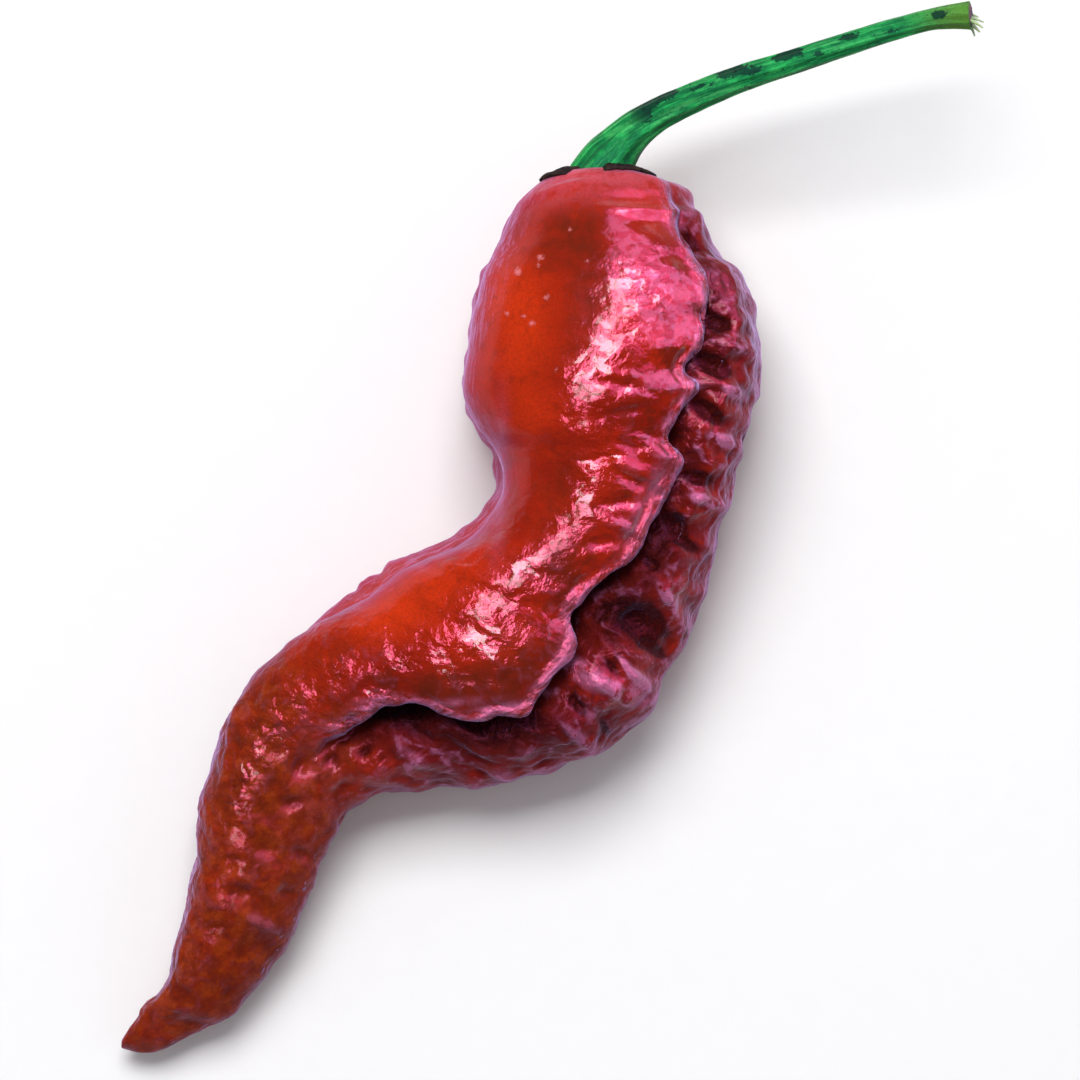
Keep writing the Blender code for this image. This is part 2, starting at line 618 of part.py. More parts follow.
def main():
    for obj in list(bpy.data.objects):
        bpy.data.objects.remove(obj)
    home = bpy.data.collections.new(NAME)
    bpy.context.scene.collection.children.link(home)

    pod = closed_skin("pod", pod_surface(POD_RINGS, POD_COLUMNS), POD_START, POD_TIP)
    home.objects.link(pod)

    above, below = (Vector(POD_START) + Vector((0, lift, 0)) for lift in (GAP + CALYX_THICKNESS, GAP))
    calyx = closed_skin("calyx", calyx_surface(CALYX_RINGS, CALYX_COLUMNS), above, below)
    home.objects.link(calyx)

    stem = make_stem(home)

    finish(pod, POD_COLOUR, 0.25, 0.0)
    finish(calyx, CALYX_COLOUR, 0.8, 0.0)
    finish(stem, STEM_COLOUR, 0.55, 0.0)


main()
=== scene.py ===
"""A chilli pepper lying on a pale surface, seen from straight above: the wrinkled red pod with its three
lobes and deep furrow, the dark dried calyx, and the green stem with its torn end.

Tables and shape functions are in millimetres, and meshes are made in metres.
"""

import math

import bmesh
import bpy
import numpy as np
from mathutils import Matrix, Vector


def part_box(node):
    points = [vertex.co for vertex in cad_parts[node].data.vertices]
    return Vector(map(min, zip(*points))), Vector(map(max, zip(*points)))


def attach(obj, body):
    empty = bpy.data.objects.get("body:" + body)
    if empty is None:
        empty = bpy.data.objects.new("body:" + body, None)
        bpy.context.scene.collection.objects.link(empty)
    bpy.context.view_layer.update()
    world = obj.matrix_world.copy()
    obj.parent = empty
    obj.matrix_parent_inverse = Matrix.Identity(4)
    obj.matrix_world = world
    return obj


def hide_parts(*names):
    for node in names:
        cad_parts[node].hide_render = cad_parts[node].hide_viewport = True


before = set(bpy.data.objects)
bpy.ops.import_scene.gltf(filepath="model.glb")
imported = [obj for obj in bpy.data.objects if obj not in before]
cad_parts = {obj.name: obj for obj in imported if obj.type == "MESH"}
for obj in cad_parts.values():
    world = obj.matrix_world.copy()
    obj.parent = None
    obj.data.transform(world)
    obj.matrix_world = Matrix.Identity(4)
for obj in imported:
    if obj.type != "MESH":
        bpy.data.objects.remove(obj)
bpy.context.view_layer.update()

MM = 0.001

# Skin colours, in linear light.
SKIN_DEEP = (0.26, 0.011, 0.003)
SKIN_RED = (0.40, 0.018, 0.004)
SKIN_ORANGE = (0.54, 0.034, 0.004)
SKIN_BROWN = (0.125, 0.013, 0.0045)
SKIN_CRIMSON = (0.19, 0.0095, 0.010)
# Pinker on the steep inner flank: a painted rim sheen.
FLANK_PAINTED_SHEEN = (0.42, 0.010, 0.060)
TAIL_BROWN = (0.17, 0.020, 0.002)
TAIL_ORANGE = (0.33, 0.045, 0.004)
TAIL_ROSE = (0.28, 0.036, 0.024)
# Painted lilac sheen for the ridges, the lip and the flank.
LILAC_PAINTED_SHEEN = (0.48, 0.13, 0.27)
SHOULDER_PINK = (0.64, 0.09, 0.14)
# Painted pink glints.
GLINT_PAINTED_PINK = (0.72, 0.22, 0.24)
# Painted shade for the hollows and the crevice under the lip.
HOLLOW_PAINTED_SHADE = (0.034, 0.0022, 0.0015)
# Near black painted shade for the furrow and under the lip.
FURROW_PAINTED_SHADE = (0.012, 0.0015, 0.003)
SHINE_PINK = (1.0, 0.18, 0.36)
SHINE_DULL = (1.0, 0.25, 0.6)
SHEEN_LILAC = (0.62, 0.46, 0.95)

# Colours of the stem, its cut face and its torn fibres, and of the calyx.
STEM_DEEP = (0.006, 0.19, 0.045)
STEM_GREEN = (0.016, 0.37, 0.075)
STEM_PALE = (0.08, 0.48, 0.13)
STEM_DARK = (0.003, 0.060, 0.022)
STEM_YELLOW = (0.11, 0.20, 0.010)
STEM_BLOTCH = (0.002, 0.008, 0.010)
STEM_SHINE = (0.15, 1.0, 0.5)
CUT_DARK = (0.018, 0.012, 0.006)
CUT_PALE = (0.085, 0.050, 0.022)
FIBRE_GREEN = (0.10, 0.26, 0.05)
FIBRE_PALE = (0.30, 0.46, 0.14)
CALYX_BLACK = (0.004, 0.003, 0.003)
CALYX_BROWN = (0.030, 0.018, 0.009)
CALYX_FRAYED = (0.11, 0.07, 0.03)

# How far the finest relief stands out, and that of the dry, crumbling parts, in metres.
FINE_BUMP = 0.0001
COARSE_BUMP = 0.0003

POD_RINGS = 462
POD_COLUMNS = 210
COLUMN_CROWDING = 0.6

# The pod between its two side outlines, from the stem end to the tip. Each row is one slice:
# outline on the inner side (x, y), outline on the outer side (x, y), crest z, underside z.
POD_SLICES = (
    (4.5, 30.1, 4.5, 30.1, 9.0, 9.0),
    (3.5, 30.2, 5.6, 30.2, 10.1, 7.9),
    (2.3, 30.3, 6.7, 30.3, 11.2, 6.8),
    (0.8, 30.3, 8.0, 30.3, 12.4, 5.7),
    (-0.3, 29.9, 9.5, 29.9, 13.5, 4.6),
    (-1.4, 29.2, 11.2, 29.4, 14.5, 3.6),
    (-3.2, 27.2, 12.6, 27.1, 16.8, 1.9),
    (-4.5, 24.4, 13.7, 24.6, 18.6, 0.9),
    (-5.7, 22.0, 16.2, 21.8, 20.1, 0.2),
    (-6.5, 18.8, 17.4, 18.6, 21.0, -0.4),
    (-7.1, 14.9, 17.9, 14.9, 21.4, -0.5),
    (-7.4, 11.5, 17.5, 11.0, 21.2, -0.2),
    (-6.3, 8.8, 16.7, 8.2, 20.5, 0.4),
    (-4.7, 6.6, 15.9, 5.3, 19.7, 0.8),
    (-4.5, 4.1, 15.1, 1.9, 19.1, 1.0),
    (-5.8, 1.9, 13.8, -2.0, 18.7, 1.0),
    (-8.1, -0.5, 12.8, -6.5, 18.4, 0.6),
    (-10.9, -1.8, 10.7, -11.3, 18.2, 0.0),
    (-13.5, -2.8, 6.7, -17.3, 17.9, -0.4),
    (-15.7, -4.5, 0.8, -20.4, 17.2, -0.5),
    (-18.3, -6.4, -6.0, -22.0, 16.2, -0.3),
    (-20.9, -8.7, -11.7, -22.4, 15.0, 0.3),
    (-23.4, -10.7, -15.3, -22.9, 14.0, 0.8),
    (-26.0, -13.4, -17.4, -24.3, 13.0, 1.0),
    (-27.8, -16.4, -18.6, -26.4, 12.3, 0.9),
    (-29.1, -19.8, -19.7, -28.6, 11.7, 0.6),
    (-30.2, -24.0, -20.5, -30.9, 11.0, 0.2),
    (-30.5, -27.5, -21.4, -33.0, 10.3, -0.2),
    (-31.2, -31.1, -22.4, -35.3, 9.5, -0.4),
    (-32.0, -34.6, -23.9, -37.5, 8.7, -0.3),
    (-32.8, -37.5, -25.5, -39.6, 7.7, 0.1),
    (-33.6, -39.6, -27.2, -41.6, 6.6, 0.5),
    (-35.0, -41.1, -29.8, -43.0, 5.4, 1.0),
    (-36.2, -42.8, -32.8, -44.5, 4.4, 1.4),
    (-36.9, -43.8, -35.0, -45.1, 3.5, 1.8),
    (-37.2, -44.6, -37.2, -44.6, 2.6, 2.6),
)

# The pod's two end points.
POD_START = (4.5, 30.0, 9.0)
POD_TIP = (-37.0, -44.4, 2.6)

# Share of each slice's height at which the pod is widest.
WAIST_SHARE = 0.47

# The lip: the rolled edge of the main lobe, seen from above, from the shoulder to the tail.
# Each row is x, y, and the depth of the furrow that runs just outside it.
LIP_PATH = (
    (10.6, 25.4, 0.3),
    (12.1, 23.3, 0.8),
    (13.1, 20.6, 1.1),
    (13.2, 18.3, 1.3),
    (12.5, 15.4, 1.4),
    (11.3, 13.4, 1.5),
    (12.0, 11.9, 1.5),
    (11.0, 10.2, 1.6),
    (9.9, 8.1, 1.7),
    (10.9, 5.8, 1.9),
    (9.9, 3.4, 1.9),
    (8.8, 0.9, 2.0),
    (7.6, -1.5, 2.2),
    (5.0, -4.0, 2.5),
    (2.9, -5.6, 2.4),
    (1.9, -7.0, 2.2),
    (2.3, -9.6, 1.8),
    (0.7, -11.9, 1.6),
    (-0.8, -13.8, 2.0),
    (-1.8, -15.5, 2.6),
    (-4.4, -15.6, 3.2),
    (-6.0, -16.3, 3.4),
    (-9.0, -15.4, 3.4),
    (-12.4, -14.7, 3.0),
    (-14.3, -14.8, 2.2),
    (-15.6, -16.0, 1.2),
    (-17.3, -17.7, 0.3),
)
FURROW_OFFSET = 0.9    # from the lip to the bottom of the furrow
LIP_ROLL = 0.45        # half the width over which the lip turns down to the outer lobe
FURROW_BANK = 1.2      # half the width over which the outer lobe rises again
UNDERCUT = 0.35        # share of the furrow's depth by which it runs in under the lip

# The three lobes in a slice, as ellipses. Sizes are shares of the slice's half width and half height,
# measured from the slice's middle, and the outer lobe's width follows the room outside the lip.
MAIN_OVERHANG = 0.22
MAIN_UP = (0.25, 0.75)
OUTER_WIDTH = (0.62, 0.09)
OUTER_BOTTOM = -1.04
BACK_LOBE = (-0.44, -0.40, 0.58, 0.60)
SHARPNESS = 14.0       # of the creases where two lobes meet

# How strongly the pod is lobed, and how high the outer lobe stands, along the pod.
# Rows are a share of the pod's length, lobing from 0 to 1, and the outer lobe's top.
LOBING = (
    (0.00, 0.0, 0.75),
    (0.06, 0.3, 0.75),
    (0.14, 0.9, 0.74),
    (0.24, 1.0, 0.72),
    (0.40, 1.0, 0.68),
    (0.52, 1.0, 0.64),
    (0.60, 1.0, 0.56),
    (0.66, 0.8, 0.58),
    (0.72, 0.25, 0.70),
    (0.80, 0.0, 0.75),
    (1.00, 0.0, 0.75),
)

# Where the main lobe draws in on the inner side of the first bend, so that the back lobe shows under it:
# start and end as shares of the pod's length, and how far it draws in.
BACK_SHOWS = (0.34, 0.60, 1.2)

# The shoulder leans back by this much of its height, so that its top rim covers the calyx from above.
SHOULDER_LEAN = 0.12
SHOULDER_REACH = 0.10

# How far the crest leans to the inner side: rows are a share of the pod's length and of the half width.
CREST_LEAN = (
    (0.00, 0.0),
    (0.30, 0.0),
    (0.42, 0.15),
    (0.58, 0.18),
    (0.70, 0.34),
    (1.00, 0.36),
)
LEAN_FROM_LIP = 3.5    # how far from the lip the lean starts
TAIL_FROM = 0.66       # share of the pod's length where the tail starts
TAIL_CHANGE = 0.06     # half the share over which it blends in

# Wrinkles: their size along the pod and round it, and how deep they are on the outer lobe and underside,
# on the main lobe beside the lip, on the rest of the main lobe, and on the tail.
WRINKLE_ALONG = 2.1
WRINKLE_ROUND = 5.5
WRINKLE_OUTER = 0.55
WRINKLE_BESIDE_LIP = 0.22
WRINKLE_MAIN = 0.10
WRINKLE_TAIL = 0.25
WRINKLE_SEED = 11
WRINKLE_RANGE = 1.6    # brings the noise up to about -1 to 1

# The fine fold beside the lip: its height, and the depth of the crease at its foot.
LIP_FOLD_HEIGHT = 0.20
LIP_FOLD_CREASE = 0.10
LIP_FOLD_SEEDS = (31, 32)

# Dents, and raised folds where the depth is negative, pressed into the upper side of the pod.
# Each row is x, y, half length, half width, turn of its long axis in degrees, depth.
OUTER_LOBE_FOLDS = (
    (13.9, 17.6, 1.5, 0.60, -30, 0.8),
    (13.7, 13.8, 1.6, 0.75, -30, 1.0),
    (13.3, 9.9, 1.5, 0.75, -35, 1.0),
    (12.4, 4.4, 1.3, 0.65, -15, 0.8),
    (10.5, 0.4, 1.3, 0.80, -60, 0.9),
    (12.0, -1.5, 1.1, 0.45, -30, 0.5),
    (8.4, -2.8, 1.1, 0.50, -40, 0.6),
    (7.6, -7.6, 2.2, 1.20, -25, 1.2),
    (4.3, -7.0, 1.0, 0.60, 60, 0.7),
    (8.8, -10.2, 1.7, 0.50, -35, 0.5),
    (5.2, -11.7, 1.4, 0.50, -50, 0.5),
    (2.3, -14.9, 1.2, 0.50, -50, 0.6),
    (4.6, -16.8, 1.2, 0.45, -60, 0.4),
    (15.5, 15.3, 1.2, 0.50, -25, -0.40),
    (15.5, 11.6, 1.3, 0.50, -25, -0.45),
    (14.5, 7.6, 1.4, 0.55, -25, -0.45),
    (13.1, 2.5, 1.4, 0.50, -20, -0.45),
    (9.9, -5.9, 1.7, 0.40, -60, -0.50),
    (6.9, -12.1, 2.0, 0.45, -45, -0.50),
    (5.0, -13.6, 2.0, 0.40, -40, -0.40),
    (2.0, -17.3, 1.6, 0.35, -40, -0.40),
)
MAIN_LOBE_FOLDS = (
    (8.6, 26.9, 4.0, 0.40, -3, -0.30),
    (8.0, 28.0, 3.2, 0.60, 0, 0.12),
    (11.8, 24.4, 1.0, 0.50, -50, 0.80),
    (0.8, 28.9, 2.7, 0.30, 17, -0.25),
    (5.7, 12.2, 2.0, 0.45, -8, 0.30),
    (6.5, 9.9, 2.2, 0.45, 12, 0.30),
    (6.9, 7.0, 1.9, 0.50, -10, 0.35),
    (4.3, 6.0, 1.2, 0.35, 10, 0.30),
    (7.3, 3.9, 1.8, 0.50, -25, 0.40),
    (6.3, 2.3, 1.9, 0.40, 5, 0.30),
    (4.6, -1.1, 2.0, 0.50, 5, 0.25),
    (6.3, 5.4, 1.6, 0.50, -25, -0.35),
    (8.8, 6.6, 1.6, 0.60, -25, -0.45),
    (11.8, 12.0, 0.8, 0.70, 0, -0.30),
    (5.9, 0.3, 1.8, 0.40, -15, -0.30),
)
TAIL_FOLDS = (
    (-16.9, -16.3, 0.8, 0.50, 45, 0.60),
    (-18.8, -19.6, 0.9, 0.60, 60, 0.50),
    (-15.8, -18.9, 0.8, 0.50, 30, 0.50),
    (-17.7, -22.1, 0.9, 0.50, 40, 0.40),
    (-21.3, -20.0, 1.0, 0.70, 70, 0.45),
    (-22.0, -23.2, 1.0, 0.60, 20, 0.45),
    (-21.3, -27.6, 1.1, 0.70, -20, 0.45),
    (-24.1, -27.2, 1.1, 0.60, 0, 0.40),
    (-22.6, -31.0, 0.8, 0.60, 0, 0.40),
    (-26.4, -30.9, 1.4, 0.80, 0, 0.35),
    (-24.3, -35.7, 1.6, 0.90, -20, 0.40),
    (-24.6, -33.6, 2.2, 0.50, -25, -0.40),
    (-27.5, -18.7, 4.2, 0.30, 78, -0.20),
)

# Colour patches on the main lobe: x, y, half length, half width, turn in degrees, strength.
WARM_PATCHES = (
    (-2.6, 16.5, 5.0, 3.2, 80, 0.9),
    (-4.0, 21.0, 2.8, 2.2, 60, 0.6),
    (-2.0, 9.0, 3.5, 2.6, 80, 0.5),
    (-13.0, -6.5, 7.0, 2.6, 30, 0.9),
    (-3.5, -9.5, 3.5, 2.4, 20, 0.5),
    (-27.0, -30.0, 6.0, 1.8, 75, 0.5),
)
# Darker, browner patches: partly the skin's own brown, partly painted shade on the sides turned from the key
# lamp and under the lip.
BROWN_AND_SHADE_PATCHES = (
    (0.8, -2.0, 2.4, 1.5, 50, 0.9),
    (1.5, 25.0, 3.6, 2.6, 40, 1.0),
    (3.2, 20.0, 4.5, 1.8, 80, 0.8),
    (0.5, 3.0, 4.0, 2.0, 70, 0.5),
    (-1.0, -10.5, 4.5, 1.6, 35, 0.8),
    (-8.5, -13.0, 5.0, 1.3, 8, 1.0),
    (-24.0, -33.5, 2.6, 1.5, -20, 0.9),
    (-28.0, -38.0, 5.0, 2.6, 50, 0.8),
    (-24.5, -22.5, 2.6, 2.2, 60, 0.5),
    (-5.5, -14.2, 5.5, 1.6, 5, 0.9),
    (-4.0, -19.0, 8.0, 1.8, 5, 1.0),
    (7.5, -7.5, 3.6, 2.2, -60, 1.0),
    (9.5, -1.5, 3.0, 1.6, 80, 0.7),
)

# Painted lilac sheen along the folded lip and the neck.
LILAC_SHEEN_PATCHES = (
    (-9.5, -14.7, 3.5, 0.35, 5, 0.8),
    (-3.5, -14.9, 3.0, 0.35, 8, 0.9),
    (1.4, -10.4, 3.4, 0.7, 75, 0.8),
    (8.0, 2.5, 4.0, 0.7, 65, 0.6),
    (-4.4, 4.5, 5.0, 0.6, 88, 0.8),
)

# Small painted pink glints, painted highlights on the smooth upper part: x, y and size. They fade in between
# these heights.
GLINTS_ABOVE = (13.0, 15.0)
PAINTED_PINK_GLINTS = (
    (-2.8, 21.7, 0.50),
    (-0.9, 22.9, 0.42),
    (-1.1, 22.2, 0.30),
    (-0.4, 19.5, 0.34),
    (-1.6, 17.3, 0.40),
    (-2.3, 17.9, 0.28),
    (3.0, 22.5, 0.26),
    (4.2, 20.3, 0.28),
    (-3.7, 18.2, 0.30),
    (1.6, 25.2, 0.26),
    (0.4, 13.4, 0.24),
    (-4.9, 5.2, 0.30),
)

# Rosy mottling on the tail and the neck.
ROSE_PATCHES = (
    (-19.0, -19.5, 4.5, 2.0, 60, 1.0),
    (-21.0, -26.0, 4.0, 1.6, 70, 0.9),
    (-25.0, -33.6, 2.6, 0.6, -25, 0.9),
    (-30.0, -31.0, 6.0, 0.8, 80, 0.7),
    (-33.5, -41.0, 3.5, 0.8, 60, 0.6),
    (-4.0, 3.0, 4.0, 1.2, 85, 0.8),
    (-9.0, -1.8, 3.5, 1.0, 30, 0.7),
)

# Where the bend and the tail shine most, along the crest.
GLOSS_PATCHES = (
    (-19.0, -11.8, 1.8, 1.5, 35, 1.0),
    (-22.9, -15.2, 2.2, 1.3, 50, 1.0),
    (-25.8, -20.4, 4.0, 1.1, 72, 0.9),
)

# Deep shade on the outer lobe, under the lip.
DEEP_SHADE = (
    (-5.0, -17.2, 9.0, 2.0, 4, 1.0),
    (-13.0, -15.8, 3.0, 1.2, 0, 0.8),
    (6.0, -7.0, 3.4, 2.2, 70, 1.0),
    (9.6, -1.6, 3.2, 1.5, 70, 0.7),
)

# The stem, from inside the calyx to its cut end: x, y, z and radius.
STEM_PATH = (
    (4.15, 28.85, 9.2, 3.60),
    (4.45, 30.25, 9.4, 2.95),
    (4.95, 31.45, 9.7, 2.45),
    (5.80, 32.60, 10.1, 2.00),
    (7.05, 33.88, 10.6, 1.71),
    (8.85, 35.12, 11.1, 1.47),
    (12.05, 36.65, 11.9, 1.29),
    (16.35, 38.35, 12.9, 1.16),
    (20.55, 39.65, 13.8, 1.06),
    (24.85, 41.00, 14.7, 0.99),
    (29.05, 42.25, 15.6, 0.93),
    (32.70, 43.10, 16.3, 0.96),
    (34.30, 43.25, 16.6, 1.11),
    (35.30, 43.30, 16.8, 1.21),
)
STEM_START = 0.035      # share of the path's length hidden in the shoulder
STEM_RINGS = 260
STEM_COLUMNS = 72
STEM_RIBS = 9
STEM_RIB_HEIGHT = 0.085
STEM_TWIST = 0.9        # radians from end to end
STEM_WOBBLE = 0.035     # how much its radius varies
STEM_INSET = 0.97       # keeps the ribs inside the stem's own size

# Torn fibres at the cut end: root, tip, and root radius.
FIBRES = (
    ((34.9, 43.0, 17.4), (36.3, 42.2, 17.6), 0.26),
    ((35.0, 42.7, 16.9), (36.1, 41.9, 16.7), 0.30),
    ((35.0, 42.8, 16.3), (35.7, 41.6, 16.0), 0.24),
    ((35.0, 43.5, 16.6), (36.0, 43.2, 16.4), 0.22),
    ((35.0, 43.2, 17.2), (36.4, 42.7, 17.2), 0.20),
)

STRAND_RADIUS = 0.14    # of the one strand that is placed on each root, before it is scaled

# Dark blotches on the stem, seen from above.
STEM_BLOTCHES = (
    (7.6, 35.3, 1.3, 0.75, 50, 1.0),
    (9.7, 36.9, 1.1, 0.55, 25, 0.9),
    (12.4, 37.5, 0.8, 0.30, 20, 0.7),
    (15.2, 38.9, 1.3, 0.50, 20, 1.0),
    (17.0, 38.8, 0.9, 0.35, 15, 0.8),
    (20.0, 40.2, 1.3, 0.45, 20, 1.0),
    (22.6, 40.2, 0.8, 0.30, 15, 0.7),
    (25.2, 41.6, 1.0, 0.35, 15, 0.8),
    (28.6, 42.0, 0.9, 0.30, 15, 0.6),
    (32.6, 43.4, 0.9, 0.35, 10, 0.8),
)

CALYX_REACH = 4.9
CALYX_SKEW = 0.8
CALYX_SKEW_TURN = 0.60
CALYX_THICKNESS = 0.46
CALYX_FRONT_RING = 12          # the pod's ring that the calyx's rim lies near
CALYX_MIDDLE = (3.6, 9.0)      # x and z of its middle
CALYX_COVERED = (-0.42, 0.34)  # turns in radians, from straight up, where the shoulder covers it
CALYX_FOOT = 0.06              # how far its inner face sits in the shoulder
CALYX_RINGS = 48
CALYX_COLUMNS = 180


def smooth_through(knots, values, at):
    """A smooth curve through values at uneven knots, with each knot's slope from its neighbours."""
    knots = np.asarray(knots, float)
    values = np.asarray(values, float)
    step = np.diff(knots)
    chord = np.diff(values) / step
    slope = np.empty_like(values)
    slope[1:-1] = (chord[:-1] * step[1:] + chord[1:] * step[:-1]) / (step[1:] + step[:-1])
    slope[0], slope[-1] = chord[0], chord[-1]
    i = np.clip(np.searchsorted(knots, at, side="right") - 1, 0, len(step) - 1)
    x = (np.clip(at, knots[0], knots[-1]) - knots[i]) / step[i]
    a, b = values[i], values[i + 1]
    ta, tb = slope[i] * step[i], slope[i + 1] * step[i]
    fall = ((2 * x - 3) * x * x + 1) * a + ((x - 2) * x + 1) * x * ta
    return fall + (3 - 2 * x) * x * x * b + (x - 1) * x * x * tb


def curve_through(knots, rows, at):
    """A smooth curve through rows of values at uneven knots."""
    return np.stack([smooth_through(knots, values, at) for values in rows.T], axis=-1)


def travel(steps):
    """Distance travelled at each point, from 0."""
    return np.concatenate([[0], np.cumsum(steps)])


def smooth_step(x):
    """0 below -1, 1 above 1, and a smooth rise between."""
    x = np.clip(x * 0.5 + 0.5, 0, 1)
    return x * x * (3 - 2 * x)


def wrap(angle):
    """An angle brought between minus and plus half a turn."""
    return (angle + math.pi) % math.tau - math.pi


def lattice_noise(points, seed):
    """Smooth gradient noise, from about -0.7 to 0.7, that repeats only every 32 units."""
    size = 32
    directions = np.random.default_rng(seed).normal(size=(size, size, size, 3))
    directions /= np.linalg.norm(directions, axis=-1, keepdims=True)
    cell = np.floor(points).astype(int)
    part = points - cell
    ease = part * part * part * (part * (part * 6 - 15) + 10)
    total = 0
    for corner in np.ndindex(2, 2, 2):
        index = (cell + corner) % size
        pull = directions[index[..., 0], index[..., 1], index[..., 2]]
        share = np.where(corner, ease, 1 - ease).prod(axis=-1)
        total = total + share * (pull * (part - corner)).sum(axis=-1)
    return total


def pod_slices(at):
    """The slices at these shares of the pod's length: outlines, crest, underside, and the length."""
    rows = np.array(POD_SLICES)
    steps = np.diff(rows, axis=0)
    travelled = travel((np.hypot(steps[:, 0], steps[:, 1]) + np.hypot(steps[:, 2], steps[:, 3])) / 2)
    length = travelled[-1]
    slices = curve_through(travelled / length, rows, at)
    return slices[:, 0:2], slices[:, 2:4], slices[:, 4], slices[:, 5], length


def lip_at(at):
    """Where the lip crosses each slice, from -1 (inner outline) to 1 (outer), and the furrow's depth."""
    rows = np.array(LIP_PATH)
    reach = travel(np.hypot(*np.diff(rows[:, :2], axis=0).T))
    path = curve_through(reach, rows, np.linspace(0, reach[-1], 600))
    slices = np.linspace(0.05, 0.95, 700)
    inner, outer = pod_slices(slices)[:2]
    across = outer - inner
    gap = path[None, :, :2] - inner[:, None]
    side = gap[..., 0] * across[:, None, 1] - gap[..., 1] * across[:, None, 0]
    place = (gap * across[:, None]).sum(axis=-1) / (across ** 2).sum(axis=-1)[:, None]
    crosses = (side[:, 1:] * side[:, :-1] <= 0) & (place[:, 1:] > -0.1) & (place[:, 1:] < 1.1)
    found = crosses.any(axis=1)
    where = crosses.argmax(axis=1)[found]
    crossed = slices[found]
    lip = np.interp(at, crossed, 2 * place[found, where] - 1)
    furrow = np.interp(at, crossed, path[where, 2])
    ends = smooth_step((at - crossed[0]) / 0.02 + 1) * smooth_step((crossed[-1] - at) / 0.02 + 1)
    return lip, furrow * ends


def ellipse_reach(turn, across, up, half_across, half_up):
    """How far a ray from the slice's middle, turned from straight up, runs to an ellipse's far side."""
    s, c = np.sin(turn), np.cos(turn)
    a = (s / half_across) ** 2 + (c / half_up) ** 2
    b = s * across / half_across ** 2 + c * up / half_up ** 2
    k = (across / half_across) ** 2 + (up / half_up) ** 2 - 1
    return np.maximum((b + np.sqrt(np.maximum(b * b - a * k, 0))) / a, 0.2)


def skin_normals(points):
    """The outward direction at each point of a closed grid of rings and columns."""
    along = np.gradient(points, axis=0)
    around = np.roll(points, -1, axis=1) - np.roll(points, 1, axis=1)
    normals = np.cross(along, around)
    return normals / np.maximum(np.linalg.norm(normals, axis=-1, keepdims=True), 1e-9)


def strokes(points, table):
    """How strongly a table of soft strokes, seen from above, touches each point."""
    total = np.zeros(points.shape[:-1])
    for x, y, half_length, half_width, angle, strength in table:
        c, s = math.cos(math.radians(angle)), math.sin(math.radians(angle))
        dx, dy = points[..., 0] - x, points[..., 1] - y
        along, aside = (dx * c + dy * s) / half_length, (dy * c - dx * s) / half_width
        total += strength * np.exp(-along ** 2 - aside ** 2)
    return total


def painted(points, table):
    """The same, held between 0 and 1."""
    return np.clip(strokes(points, table), 0, 1)


